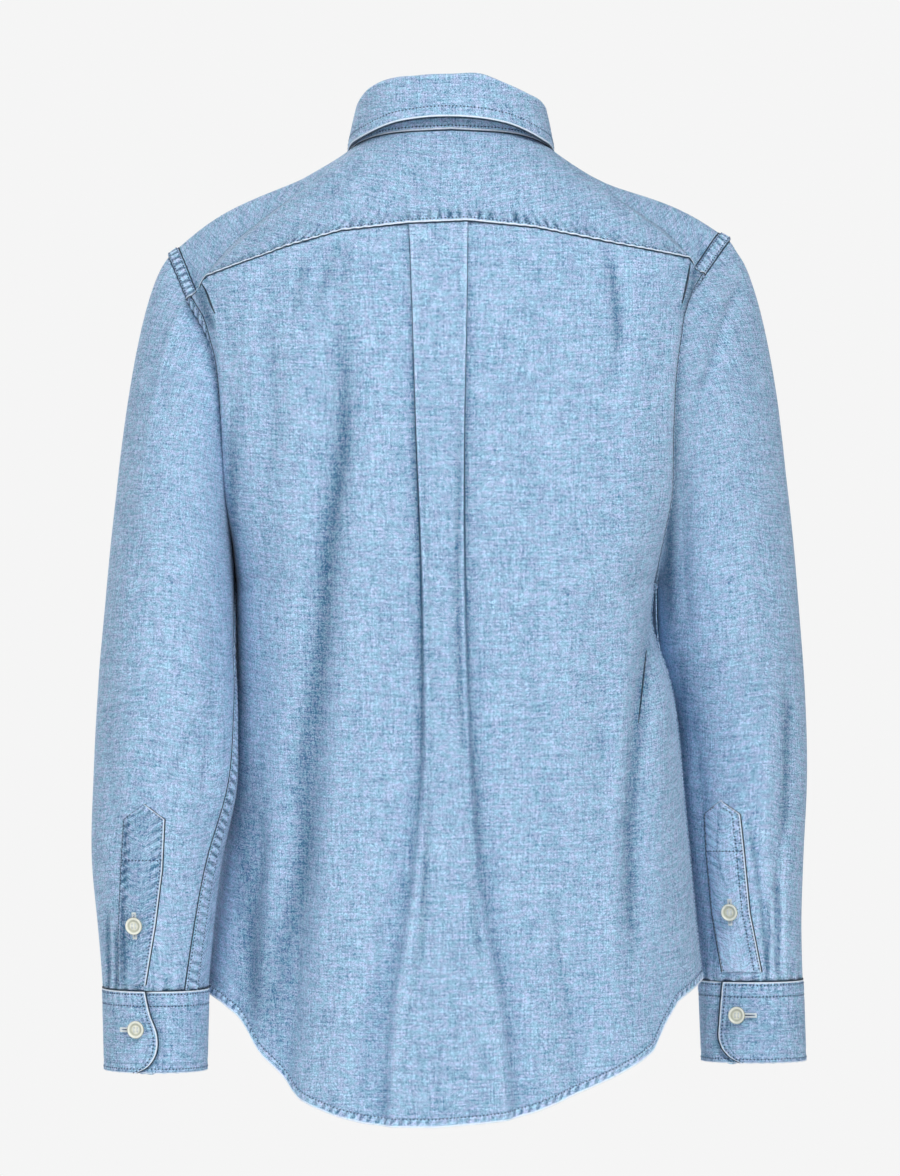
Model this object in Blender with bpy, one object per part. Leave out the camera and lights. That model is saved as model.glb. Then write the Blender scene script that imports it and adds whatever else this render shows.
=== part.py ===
"""A child's long-sleeved chambray shirt, buttoned up and hanging in the shape of a wearer who isn't there.

Every cloth piece is a thin wall that a maker would cut and sew: back with a box pleat, yoke, two fronts
and their placket, collar band and collar, sleeves with plackets and cuffs. The neck, hem and cuffs are
open. The origin is the middle of the neck seam, +Z is up and the front faces -Y. The wearer's left is +X.

The tables are in millimetres. Their first column, where it is a drop, is the distance below the origin.
"""

import math

import bmesh
import bpy
import numpy as np
from mathutils import Vector

MM = 0.001
WALL = 1.2
THICK_WALL = 2.0
SEAM_GAP = 0.3

# The neck seam, an oval that drops from the nape to the front: angle from the middle of the back.
NECK_HALF_WIDTH = 62.0
NECK_HALF_DEPTH = 46.0
NECK_HEIGHT = ((0, 14.4), (40, 11.5), (90, 0.5), (120, -10.0), (150, -24.0), (180, -30.0))

# The body: how deep it is at the middle, and where its side seams run.
BODY_DEPTH = (  # drop, back y, front y
    (-20, 50.0, -20.0),
    (15, 66.0, -34.0),
    (40, 80.0, -55.0),
    (80, 91.0, -79.0),
    (130, 97.0, -97.0),
    (220, 98.0, -106.0),
    (330, 94.0, -104.0),
    (450, 96.0, -103.0),
    (580, 100.0, -104.0),
)
SIDE_SEAM = (  # drop, left x, right x
    (257, 129.0, -123.0),
    (291, 129.5, -124.5),
    (327, 131.0, -134.0),
    (390, 135.0, -142.0),
    (450, 143.0, -147.0),
    (498, 150.5, -151.0),
)
ROUNDNESS = ((0, 2.3), (190, 2.4), (257, 3.1), (330, 2.7), (450, 2.4), (580, 2.3))  # drop, power of the oval
UNDERARM_DROP = 257.0

# The armhole seam from the yoke's corner down to the underarm, on the back and on the front.
ARMHOLE_BACK_LEFT = (  # drop, x, y
    (88, 157.0, 37.0),
    (118, 141.0, 50.0),
    (160, 135.0, 53.0),
    (205, 132.5, 44.0),
    (240, 130.0, 20.0),
    (257, 129.0, 0.0),
)
ARMHOLE_BACK_RIGHT = (
    (73, -151.0, 36.0),
    (90, -139.5, 46.0),
    (120, -133.0, 52.0),
    (160, -130.0, 53.0),
    (205, -129.0, 42.0),
    (240, -125.5, 20.0),
    (257, -123.0, 0.0),
)
ARMHOLE_FRONT_LEFT = (
    (88, 160.0, -34.0),
    (118, 145.0, -57.0),
    (160, 136.0, -66.0),
    (205, 132.0, -55.0),
    (240, 130.0, -24.0),
    (257, 129.0, 0.0),
)
ARMHOLE_FRONT_RIGHT = (
    (76, -156.0, -34.0),
    (110, -141.0, -57.0),
    (155, -133.0, -66.0),
    (205, -129.0, -55.0),
    (240, -125.5, -24.0),
    (257, -123.0, 0.0),
)
ARMHOLE_TOP_LEFT = (  # share of the way from the front corner to the back one, x, y, z
    (0.0, 160.0, -34.0, -88.0),
    (0.5, 170.5, 2.0, -61.0),
    (1.0, 157.0, 37.0, -88.0),
)
ARMHOLE_TOP_RIGHT = (
    (0.0, -156.0, -34.0, -76.0),
    (0.5, -167.0, 2.0, -51.5),
    (1.0, -151.0, 36.0, -73.0),
)

# The seams of the yoke and the hems, as drops across the body.
BACK_YOKE_SEAM = (
    (-151, 73), (-142, 63), (-90, 53), (-50, 45), (-10, 41),
    (25, 42.5), (66, 47), (100, 57), (146, 74), (157, 88),
)
BACK_HEM = (
    (-151, 494), (-147, 498), (-134, 508), (-129, 521), (-122, 537), (-88, 556), (-58, 568), (-34, 577),
    (0, 580), (51, 580), (85, 570), (111, 542), (129, 513), (140, 503), (150.5, 498),
)
FRONT_HEM = (
    (-151, 494), (-134, 506), (-118, 528), (-88, 548), (-40, 560), (0, 562),
    (40, 560), (88, 549), (118, 529), (134, 508), (150.5, 498),
)
YOKE_AT_NECK = 104.0  # angle round the neck where the yoke meets the front
YOKE_CORNER_AT_NECK = 64.0  # and where its ray to the back corner of the armhole starts
YOKE_RISE = (  # angle round the neck, rise halfway out, shift of that rise towards the armhole
    (-104, 1.0, 3.0),
    (-78, -0.5, 3.5),
    (-45, 2.0, 1.0),
    (0, 3.0, 0.0),
    (45, 4.0, 0.0),
    (78, 6.5, 0.5),
    (104, 5.0, 0.0),
)
YOKE_SLOPE = (0.25, 0.35, 60.0)  # which way the rise goes: its lean for each mm of x and of y, and upwards
YOKE_BACK_TRIM = 0.014  # how far short of the back panel's seam the yoke's edge stops

# The box pleat down the middle of the back: its two folded edges and the groove beside each.
PLEAT = (  # drop, left edge x, right edge x, groove depth
    (40, 24.6, -9.6, 0.6),
    (90, 22.8, -9.0, 2.0),
    (160, 20.5, -7.5, 3.0),
    (280, 15.5, -7.2, 4.0),
    (385, 15.5, -11.0, 5.0),
    (460, 23.0, -17.4, 6.0),
    (510, 30.6, -26.0, 6.0),
    (580, 34.0, -32.0, 5.0),
)
PLEAT_RISE = 1.4
GROOVE_WIDTH = 11.0
GROOVE_STEP = 2.5

# The largest folds: x, depth and half width at three drops. A trough is a negative depth.
FOLD_DROPS = (60.0, 310.0, 560.0)
BACK_FOLDS = (  # x at each drop, depth at each drop, half width
    (66, 79, 104, -1.0, -5.0, -9.0, 13.0),
    (50, 48, 62, 0.0, 2.0, 4.0, 14.0),
    (108, 112, 126, -2.0, -1.0, -4.0, 9.0),
    (-95, -88, -72, -1.5, -1.0, -3.5, 14.0),
    (-60, -58, -112, 0.0, 1.5, 3.0, 16.0),
)
FRONT_FOLDS = (
    (-70, -64, -84, -1.0, -3.0, -6.0, 13.0),
    (72, 58, 66, -1.0, -2.5, -5.5, 14.0),
    (112, 104, 120, -1.5, -2.0, -4.0, 10.0),
    (-40, -36, -40, 0.0, 1.5, 3.0, 14.0),
)

# The front opening: the left front laps over the right one, with a placket strip along its edge.
PLACKET_HALF_WIDTH = 15.0
UNDERLAP_EDGE = 12.0
UNDERLAP_DEPTH = 3.4
UNDERLAP_RAMP = (-46.0, -19.0)  # between these x the right front dips behind the left one
FRONT_BLEND = 0.44  # the share of a front's height over which its neck and yoke seams ease into the body
PLACKET_TRIM = 1.5

# The sleeves below the underarm.
SLEEVE_LEFT = (  # drop, inner x, outer x, middle y, half depth
    (283, 131.0, 208.0, 36.0, 55.0),
    (327, 129.0, 211.8, 45.0, 50.0),
    (375, 128.5, 214.2, 48.0, 44.0),
    (423, 137.0, 214.8, 47.0, 41.0),
    (460, 141.5, 211.0, 46.0, 37.0),
    (498, 145.0, 207.5, 45.0, 32.5),
)
SLEEVE_RIGHT = (
    (283, -126.0, -209.2, -34.0, 54.0),
    (327, -136.0, -212.4, -44.0, 48.0),
    (375, -137.0, -213.0, -48.0, 44.0),
    (423, -142.0, -210.2, -49.0, 41.0),
    (460, -146.5, -209.0, -48.0, 37.0),
    (495, -149.5, -211.0, -47.0, 32.5),
)
SLEEVE_TILT = ((283, 16.0), (327, 9.0), (375, 4.0), (423, 1.0), (500, 0.0))  # drop, rise of the outer side
CAP_SHARES = (0.72, 0.5, 0.13)  # how far the cap's shoulder goes towards the first round: x, y and z
CAP_GAP = 1.2
CUFF_HEIGHT = 49.0
CUFF_PROUD = 0.8
CUFF_TAPER = 1.5
CUFF_OVERLAP = 40.0  # degrees
CUFF_RAMP = 22.0
CUFF_LAP_GAP = 0.5
CUFF_EDGE_X = {"left": (182.5, 175.0), "right": (-163.0, -161.4)}  # the outer end at its top and halfway down

# The sleeve plackets, on the back of each sleeve under a pointed top.
SLEEVE_PLACKET_LEFT = (  # drop, outer edge x, inner edge x
    (388.5, 183.6, 182.4),
    (397.5, 195.0, 170.5),
    (428, 197.0, 172.0),
    (460, 198.2, 176.0),
    (496.5, 198.0, 182.0),
)
SLEEVE_PLACKET_RIGHT = (
    (387, -161.4, -162.6),
    (395.5, -173.5, -152.5),
    (419, -176.0, -153.6),
    (455, -179.5, -157.0),
    (490.5, -186.5, -163.0),
)

# The collar: its fold and its free edge round the neck.
COLLAR_FOLD = (  # angle, x, y, z on the left, z on the right
    (0, 0.0, 41.5, 47.8, 47.8),
    (30, 29.0, 36.5, 47.0, 46.5),
    (60, 49.0, 21.5, 41.0, 36.0),
    (90, 57.0, 0.0, 24.0, 20.0),
    (120, 50.5, -22.0, 7.0, 7.0),
    (150, 30.0, -38.5, -4.0, -4.0),
    (180, 0.0, -45.0, -8.0, -8.0),
)
COLLAR_EDGE = (
    (0, 0.0, 54.5, 22.0, 22.0),
    (30, 32.0, 49.5, 19.0, 18.5),
    (60, 56.0, 31.0, 9.5, 8.5),
    (90, 65.0, 0.0, 3.0, 2.0),
    (120, 63.0, -34.0, -16.0, -16.0),
    (150, 51.0, -62.0, -47.0, -47.0),
    (180, 33.0, -84.0, -76.0, -76.0),
)
COLLAR_ENDS = 176.0
COLLAR_WALL = 1.4
ROLL = 2.6  # half the width of the fold over the top of the band
ROLL_DROPS = (0.8, 2.4)  # how far the fold has come down on its inside and its outside
LEAF_BULGE = 1.2
BAND_OVERLAP = 20.0  # degrees
BAND_GAPS = (1.2, 0.5)  # clear of the neck seam below and of the collar above

# The buttons.
BUTTON_RADIUS = 5.4
BUTTON_HEIGHT = 2.4
BUTTON_PROFILE = (  # shares of the radius and of the height
    (0.0, 0.62),
    (0.62, 0.62),
    (0.78, 1.0),
    (0.93, 0.92),
    (1.0, 0.55),
    (0.8, 0.0),
    (0.0, 0.0),
)
BUTTON_HOLE_RADIUS = 0.55
BUTTON_HOLE_OFFSET = 1.4
FRONT_BUTTON_DROPS = (72, 140, 210, 280, 350, 420)
CUFF_BUTTONS = {"left": (186.8, 523.0), "right": (-172.6, 516.5)}
SLEEVE_BUTTONS = {"left": (187.5, 460.5), "right": (-168.6, 454.2)}
CUFF_BUTTON_LIFT = CUFF_PROUD + SEAM_GAP + 0.9
SLEEVE_BUTTON_LIFT = WALL + 3 * SEAM_GAP + 1.1
FRONT_BUTTON_LIFT = SEAM_GAP + 0.4
COLLAR_BUTTON_LIFT = 1.6

# How finely the cloth is divided.
ARMHOLE_STEPS = 8
SHOULDER_STEPS = 6
BODY_STEPS = 9
PANEL_COLUMNS = 11
PLEAT_COLUMNS = 3
YOKE_RINGS = 4
FRONT_NECK_COLUMNS = 4
FRONT_SEAM_COLUMNS = 7
CAP_ROUNDS = 5
SLEEVE_ROUNDS = 8
COLLAR_COLUMNS = 26
COLLAR_ROWS = 5
BAND_COLUMNS = 28
BAND_ROWS = 2
PLACKET_COLUMNS = 6
PLACKET_ROWS = 10
CUFF_COLUMNS = 26
CUFF_ROWS = 4
BUTTON_STEPS = 14

BODY_ROWS = ARMHOLE_STEPS + BODY_STEPS
BACK_COLUMNS = 2 * PANEL_COLUMNS + PLEAT_COLUMNS + 2
FRONT_COLUMNS = FRONT_NECK_COLUMNS + FRONT_SEAM_COLUMNS
YOKE_RAYS = 2 * SHOULDER_STEPS + BACK_COLUMNS
SLEEVE_STEPS = 2 * ARMHOLE_STEPS + SHOULDER_STEPS
SLEEVE_BACK_STEPS = range(1, SLEEVE_STEPS // 2)

CHAMBRAY = ("chambray", (0.34, 0.53, 0.75, 1.0), 0.9)
CREAM = ("cream_button", (0.78, 0.77, 0.64, 1.0), 0.3)


def curve(rows, column, at):
    """The value in a column at a key of the first column, on a smooth line through the rows."""
    keys = np.array([row[0] for row in rows], float)
    values = np.array([row[column] for row in rows], float)
    slopes = np.gradient(values, keys)
    place = np.clip(np.searchsorted(keys, at) - 1, 0, len(keys) - 2)
    span = keys[place + 1] - keys[place]
    t = np.clip((at - keys[place]) / span, 0.0, 1.0)
    start = (1 + 2 * t) * (1 - t) ** 2 * values[place] + t * (1 - t) ** 2 * span * slopes[place]
    end = t * t * (3 - 2 * t) * values[place + 1] - t * t * (1 - t) * span * slopes[place + 1]
    return float(start + end)


def line(rows, column, at):
    """The value in a column at a key, straight between the rows."""
    return float(np.interp(at, [row[0] for row in rows], [row[column] for row in rows]))


def ease(start, end, at):
    """A soft step from 0 at the start to 1 at the end."""
    t = min(max((at - start) / (end - start), 0.0), 1.0)
    return t * t * (3 - 2 * t)


def folds(table, x, drop):
    """How far a table's folds lift the cloth at x and this drop."""
    lift = 0.0
    for *numbers, width in table:
        middle = np.interp(drop, FOLD_DROPS, numbers[:3])
        depth = np.interp(drop, FOLD_DROPS, numbers[3:])
        lift += depth * math.exp(-(((x - middle) / width) ** 2))
    return lift


def pleat_lift(x, drop):
    """The box pleat: a raised panel between two folded edges, with a soft groove beside each."""
    left = curve(PLEAT, 1, drop)
    right = curve(PLEAT, 2, drop)
    groove = curve(PLEAT, 3, drop)
    if right - 1 <= x <= left + 1:
        return PLEAT_RISE
    outside = x - left if x > left else right - x
    return -groove * math.exp(-(((outside - GROOVE_STEP) / GROOVE_WIDTH) ** 2))


def angle_of(share, edge_drop):
    """The angle from the middle at which an oval row reaches this share of its half width."""
    return math.copysign(math.asin(min(abs(share), 1.0) ** (curve(ROUNDNESS, 1, edge_drop) / 2)), share)


def width_share(angle, edge_drop):
    return math.copysign(abs(math.sin(angle)) ** (2 / curve(ROUNDNESS, 1, edge_drop)), angle)


def depth_share(angle, edge_drop):
    return max(math.cos(angle), 0.0) ** (2 / curve(ROUNDNESS, 1, edge_drop))


def side_edge(back, left, drop):
    """x and y of the body's edge: the armhole above the underarm, the side seam below it."""
    if drop >= UNDERARM_DROP:
        return curve(SIDE_SEAM, 1 if left else 2, drop), 0.0
    if back:
        table = ARMHOLE_BACK_LEFT if left else ARMHOLE_BACK_RIGHT
    else:
        table = ARMHOLE_FRONT_LEFT if left else ARMHOLE_FRONT_RIGHT
    return curve(table, 1, drop), curve(table, 2, drop)


def body_point(back, angle, drop, edge_drop, lift):
    """A point of the body's oval row at this angle from its middle, moved outwards by lift(x, drop)."""
    edge_x, edge_y = side_edge(back, angle >= 0, edge_drop)
    middle_y = curve(BODY_DEPTH, 1 if back else 2, drop)
    x = abs(edge_x) * width_share(angle, edge_drop)
    y = edge_y + (middle_y - edge_y) * depth_share(angle, edge_drop)
    outward = Vector((math.sin(angle) / abs(edge_x), math.cos(angle) / (middle_y - edge_y), 0))
    return Vector((x, y, -drop)) + outward.normalized() * lift(x, drop)


def end_row(table, left):
    """The row of a seam's table at the left or the right side."""
    return table[-1] if left else table[0]


def edge_shares(top_edge, low_edge):
    """How far down each row of a body panel lies: even steps in the armhole, then even steps below it."""
    underarm = (UNDERARM_DROP - top_edge) / (low_edge - top_edge)
    upper = [underarm * step / ARMHOLE_STEPS for step in range(ARMHOLE_STEPS)]
    lower = [underarm + (1 - underarm) * step / BODY_STEPS for step in range(BODY_STEPS + 1)]
    return upper + lower


# The back


def spread(start, share):
    """The width share of a column this share of the way from the start to the side, closer together there."""
    turn = math.asin(start)
    return math.sin(turn + (math.pi / 2 - turn) * share)


def back_angle(column, drop, edge_drop):
    """The angle of a back column: the middle ones follow the pleat's edges, the others spread to the side."""
    pleat_left = curve(PLEAT, 1, drop)
    pleat_right = curve(PLEAT, 2, drop)
    left_width = side_edge(True, True, edge_drop)[0]
    right_width = -side_edge(True, False, edge_drop)[0]
    if PANEL_COLUMNS < column < PANEL_COLUMNS + 2 + PLEAT_COLUMNS:
        share = (column - PANEL_COLUMNS - 1) / PLEAT_COLUMNS
        x = pleat_right + (pleat_left - pleat_right) * share
        return angle_of(x / (left_width if x > 0 else right_width), edge_drop)
    if column <= PANEL_COLUMNS:
        start = (pleat_right - GROOVE_STEP) / right_width
        return -angle_of(spread(-start, 1 - column / PANEL_COLUMNS), edge_drop)
    start = (pleat_left + GROOVE_STEP) / left_width
    return angle_of(spread(start, (column - PANEL_COLUMNS - 2 - PLEAT_COLUMNS) / PANEL_COLUMNS), edge_drop)


def back_lift(x, drop):
    return pleat_lift(x, drop) + folds(BACK_FOLDS, x, drop)


def back_point(column, share):
    """A point of the back at a column, this share of the way from the yoke seam to the hem."""
    left = column > BACK_COLUMNS / 2
    seam_x, seam_drop = end_row(BACK_YOKE_SEAM, left)
    hem_x, hem_drop = end_row(BACK_HEM, left)
    edge_drop = seam_drop + (hem_drop - seam_drop) * share
    drop = edge_drop
    for _ in range(3):
        angle = back_angle(column, drop, edge_drop)
        width = width_share(angle, edge_drop)
        top = line(BACK_YOKE_SEAM, 1, width * abs(seam_x))
        drop = top + (line(BACK_HEM, 1, width * abs(hem_x)) - top) * share
    return body_point(True, angle, drop, edge_drop, back_lift)


def back_share(column, row):
    """How far down a row lies: it crosses from the right side's shares to the left side's."""
    ends = [(end_row(BACK_YOKE_SEAM, left)[1], end_row(BACK_HEM, left)[1]) for left in (False, True)]
    right, left = (edge_shares(*drops)[row] for drops in ends)
    return right + (left - right) * column / BACK_COLUMNS


def place_back(column, row):
    point = back_point(column, back_share(column, row))
    if row == 0:
        point.z -= SEAM_GAP / 2
    if column in (0, BACK_COLUMNS):
        point += Vector((-math.copysign(SEAM_GAP, point.x), SEAM_GAP, 0))
    return point


# The yoke


def neck_point(angle):
    """A point of the neck seam at an angle in degrees from the middle of the back, left being positive."""
    turn = math.radians(angle)
    height = curve(NECK_HEIGHT, 1, abs(angle))
    return Vector((NECK_HALF_WIDTH * math.sin(turn), NECK_HALF_DEPTH * math.cos(turn), height))


def armhole_top(left, share):
    """A point of the armhole over the shoulder, from the front corner at 0 to the back corner at 1."""
    table = ARMHOLE_TOP_LEFT if left else ARMHOLE_TOP_RIGHT
    return Vector([curve(table, column, share) for column in (1, 2, 3)])


def yoke_ray(ray):
    """The neck angle and the outer end of a ray of the yoke, counted from the right front."""
    if ray <= SHOULDER_STEPS:
        share = ray / SHOULDER_STEPS
        return -(YOKE_AT_NECK + (YOKE_CORNER_AT_NECK - YOKE_AT_NECK) * share), armhole_top(False, share)
    if ray >= YOKE_RAYS - SHOULDER_STEPS:
        share = (YOKE_RAYS - ray) / SHOULDER_STEPS
        return YOKE_AT_NECK + (YOKE_CORNER_AT_NECK - YOKE_AT_NECK) * share, armhole_top(True, share)
    column = ray - SHOULDER_STEPS
    outer = back_point(column, 0.0)
    corner = abs(back_point(BACK_COLUMNS if outer.x > 0 else 0, 0.0).x)
    turn = math.asin(max(-1.0, min(1.0, outer.x / corner)))
    return YOKE_CORNER_AT_NECK * turn / (math.pi / 2), outer


def yoke_point(ray, share):
    """A point of the yoke, this share of the way from the neck seam to its outer edge."""
    angle, outer = yoke_ray(ray)
    inner = neck_point(angle)
    rise = curve(YOKE_RISE, 1, angle) * math.sin(math.pi * share)
    rise -= curve(YOKE_RISE, 2, angle) * math.sin(2 * math.pi * share)
    point = inner.lerp(outer, share)
    slope = Vector((point.x * YOKE_SLOPE[0], point.y * YOKE_SLOPE[1], YOKE_SLOPE[2]))
    return point + slope.normalized() * rise


def place_yoke(ray, ring):
    point = yoke_point(ray, ring / YOKE_RINGS)
    if ring == YOKE_RINGS and SHOULDER_STEPS <= ray <= YOKE_RAYS - SHOULDER_STEPS:
        point = yoke_point(ray, 1 - YOKE_BACK_TRIM)
    if ray in (0, YOKE_RAYS):
        point.y += SEAM_GAP / 2
    return point


# The fronts


def front_top(left, column):
    """The top edge of a front: the neck seam from the opening, then the yoke's front seam to the armhole."""
    side = 1 if left else -1
    if column <= FRONT_NECK_COLUMNS:
        start = 180 + math.degrees(math.asin(opening_edge(left) / NECK_HALF_WIDTH))
        angle = start + (YOKE_AT_NECK - start) * column / FRONT_NECK_COLUMNS
        turn = math.radians(angle)
        height = curve(NECK_HEIGHT, 1, min(angle, 360 - angle))
        return Vector((side * NECK_HALF_WIDTH * math.sin(turn), NECK_HALF_DEPTH * math.cos(turn), height))
    share = (column - FRONT_NECK_COLUMNS) / FRONT_SEAM_COLUMNS
    ray = YOKE_RAYS if left else 0
    return yoke_point(ray, share)


def opening_edge(left):
    """How far a front runs past the middle."""
    return PLACKET_HALF_WIDTH if left else UNDERLAP_EDGE


def front_x(top_x, top_edge, edge):
    """How a front's column runs: straight down by the opening, and with the side at the side."""
    share = min(abs(top_x) / top_edge, 1.0) ** 3
    return top_x + math.copysign(1.0, top_x) * (edge - top_edge) * share


def front_lift(x, drop):
    return folds(FRONT_FOLDS, x, drop)


def front_point(left, column, share):
    """A point of a front: on the body's oval, eased up to the neck and yoke seams at its top."""
    seam = (ARMHOLE_FRONT_LEFT if left else ARMHOLE_FRONT_RIGHT)[0][0]
    hem_x, hem_drop = end_row(FRONT_HEM, left)
    edge_drop = seam + (hem_drop - seam) * share
    top = front_top(left, column)
    top_edge = abs(side_edge(False, left, seam)[0])
    top_angle = angle_of(top.x / top_edge, seam)
    if column == FRONT_COLUMNS:
        top_angle = math.pi / 2 if left else -math.pi / 2
    hem = line(FRONT_HEM, 1, front_x(top.x, top_edge, abs(hem_x)))
    drop = -top.z + (hem + top.z) * share
    edge = abs(side_edge(False, left, edge_drop)[0])
    angle = angle_of(front_x(top.x, top_edge, edge) / edge, edge_drop)
    point = body_point(False, angle, drop, edge_drop, front_lift)
    at_top = body_point(False, top_angle, -top.z, seam, front_lift)
    fade = (1 - ease(0, FRONT_BLEND, share)) ** 1.5
    point += (top - at_top) * fade
    if not left:
        point.y += UNDERLAP_DEPTH * ease(UNDERLAP_RAMP[0], UNDERLAP_RAMP[1], point.x)
    return point


def place_front(left):
    seam = (ARMHOLE_FRONT_LEFT if left else ARMHOLE_FRONT_RIGHT)[0][0]
    shares = edge_shares(seam, end_row(FRONT_HEM, left)[1])

    def place(column, row):
        point = front_point(left, column, shares[row])
        if row == 0:
            point.z -= 3 * SEAM_GAP
            point.y -= SEAM_GAP * 1.2
        if column == FRONT_COLUMNS:
            point += Vector((-math.copysign(SEAM_GAP, point.x), -SEAM_GAP, 0))
        return point

    return place


def front_strip(x, row):
    """A point of the left front at x on one of its rows."""
    shares = edge_shares(ARMHOLE_FRONT_LEFT[0][0], FRONT_HEM[-1][1])
    ends = [front_point(True, step, shares[row]) for step in range(FRONT_NECK_COLUMNS + 1)]
    xs = [end.x for end in ends]
    return Vector((x, np.interp(x, xs, [end.y for end in ends]), np.interp(x, xs, [end.z for end in ends])))


def place_front_placket(column, row):
    """The placket strip lies on the left front's edge, moved out."""
    x = PLACKET_HALF_WIDTH * (column - 1)
    down = front_strip(x, min(row + 1, BODY_ROWS)) - front_strip(x, max(row - 1, 0))
    outward = Vector((0, down.z, -down.y)).normalized()
    point = front_strip(x, row) + outward * (WALL + 2 * SEAM_GAP)
    if row == 0:
        point += down.normalized() * PLACKET_TRIM
    return point


# The collar


def around(table, angle):
    """A point of the collar's table at an angle from the middle of the back, left being positive."""
    x, y, z = (curve(table, column, abs(angle)) for column in (1, 2, 3 if angle > 0 else 4))
    return Vector((math.copysign(x, angle), y, z))


def place_collar(column, row):
    angle = COLLAR_ENDS * (2 * column / COLLAR_COLUMNS - 1)
    fold = around(COLLAR_FOLD, angle)
    edge = around(COLLAR_EDGE, angle)
    out = Vector((fold.x, fold.y, 0)).normalized()
    over = fold + out * ROLL - Vector((0, 0, ROLL_DROPS[1]))
    if row == 0:
        return fold - out * ROLL - Vector((0, 0, ROLL_DROPS[0]))
    if row == 1:
        return fold
    share = (row - 2) / (COLLAR_ROWS - 2)
    return over.lerp(edge, share) + out * LEAF_BULGE * math.sin(math.pi * share)


def place_band(column, row):
    """The band stands on the neck seam; its left end laps over its right one at the front."""
    angle = (180 + BAND_OVERLAP / 2) * (2 * column / BAND_COLUMNS - 1)
    folded = (angle + 180) % 360 - 180
    fold = around(COLLAR_FOLD, folded)
    out = Vector((fold.x, fold.y, 0)).normalized()
    low = neck_point(folded) + Vector((0, 0, BAND_GAPS[0]))
    top = fold - out * ROLL - Vector((0, 0, ROLL_DROPS[0] + COLLAR_WALL + BAND_GAPS[1]))
    under = UNDERLAP_DEPTH * ease(180 - BAND_OVERLAP * 1.6, 180 - BAND_OVERLAP * 0.6, -angle)
    return top.lerp(low, row / BAND_ROWS) - out * under


# The sleeves


def sleeve_angles():
    """The angle round the sleeve of each armhole point: 0 is out from the body, 90 degrees is the back."""
    return [180 - 360 * step / SLEEVE_STEPS for step in range(SLEEVE_STEPS + 1)]


def armhole_point(left, step):
    """A point of the armhole loop, from the underarm up the back, over the shoulder and down the front."""
    if step <= ARMHOLE_STEPS or step >= ARMHOLE_STEPS + SHOULDER_STEPS:
        back = step <= ARMHOLE_STEPS
        count = step if back else SLEEVE_STEPS - step
        table = {
            (True, True): ARMHOLE_BACK_LEFT,
            (True, False): ARMHOLE_BACK_RIGHT,
            (False, True): ARMHOLE_FRONT_LEFT,
            (False, False): ARMHOLE_FRONT_RIGHT,
        }[back, left]
        drop = UNDERARM_DROP + (table[0][0] - UNDERARM_DROP) * count / ARMHOLE_STEPS
        return Vector((*side_edge(back, left, drop - 1e-6), -drop))
    return armhole_top(left, 1 - (step - ARMHOLE_STEPS) / SHOULDER_STEPS)


def sleeve_round(left, drop, angle):
    """A point of the sleeve's round at this drop, before its tilt: an upright tube's oval."""
    table = SLEEVE_LEFT if left else SLEEVE_RIGHT
    inner, outer, middle, depth = (curve(table, column, drop) for column in (1, 2, 3, 4))
    turn = math.radians(angle)
    x = (inner + outer) / 2 + (outer - inner) / 2 * math.cos(turn)
    tilt = curve(SLEEVE_TILT, 1, drop) * math.cos(turn)
    return Vector((x, middle + depth * math.sin(turn), -drop + tilt))


def cap_point(left, step, share):
    """A point of the sleeve's cap, between the armhole and the first full round."""
    angle = sleeve_angles()[step]
    start = armhole_point(left, step)
    table = SLEEVE_LEFT if left else SLEEVE_RIGHT
    end = sleeve_round(left, table[0][0], angle)
    shoulder = Vector([a + (b - a) * part for a, b, part in zip(start, end, CAP_SHARES)])
    start = start + (shoulder - start).normalized() * CAP_GAP
    start.x += 2 * SEAM_GAP if left else -2 * SEAM_GAP
    return start * (1 - share) ** 2 + shoulder * 2 * share * (1 - share) + end * share**2


def place_sleeve(left):
    table = SLEEVE_LEFT if left else SLEEVE_RIGHT

    def place(step, row):
        around_step = step % SLEEVE_STEPS
        if row <= CAP_ROUNDS:
            return cap_point(left, around_step, row / CAP_ROUNDS)
        share = (row - CAP_ROUNDS) / SLEEVE_ROUNDS
        drop = table[0][0] + (table[-1][0] - table[0][0]) * share
        return sleeve_round(left, drop, sleeve_angles()[around_step])

    return place


def back_of_sleeve(left, x, drop):
    """The point of the sleeve's back that lies at x and this drop."""
    place = place_sleeve(left)
    table = SLEEVE_LEFT if left else SLEEVE_RIGHT
    row = CAP_ROUNDS + SLEEVE_ROUNDS * min((drop - table[0][0]) / (table[-1][0] - table[0][0]), 1.0)
    found = []
    for whole in (math.floor(row), math.ceil(row)):
        backs = sorted((place(step, whole) for step in SLEEVE_BACK_STEPS), key=lambda point: point.x)
        found.append(np.interp(x, [point.x for point in backs], [point.y for point in backs]))
    y = found[0] + (found[1] - found[0]) * (row - math.floor(row))
    return Vector((x, y, -drop))


def place_sleeve_placket(left):
    table = SLEEVE_PLACKET_LEFT if left else SLEEVE_PLACKET_RIGHT

    def place(column, row):
        share = row / PLACKET_ROWS
        drop = table[0][0] + (table[-1][0] - table[0][0]) * share
        outer, inner = line(table, 1, drop), line(table, 2, drop)
        x = outer + (inner - outer) * column / PLACKET_COLUMNS
        return back_of_sleeve(left, x, drop) + sleeve_normal(left, x, drop) * (WALL + 2 * SEAM_GAP)

    return place


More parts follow.
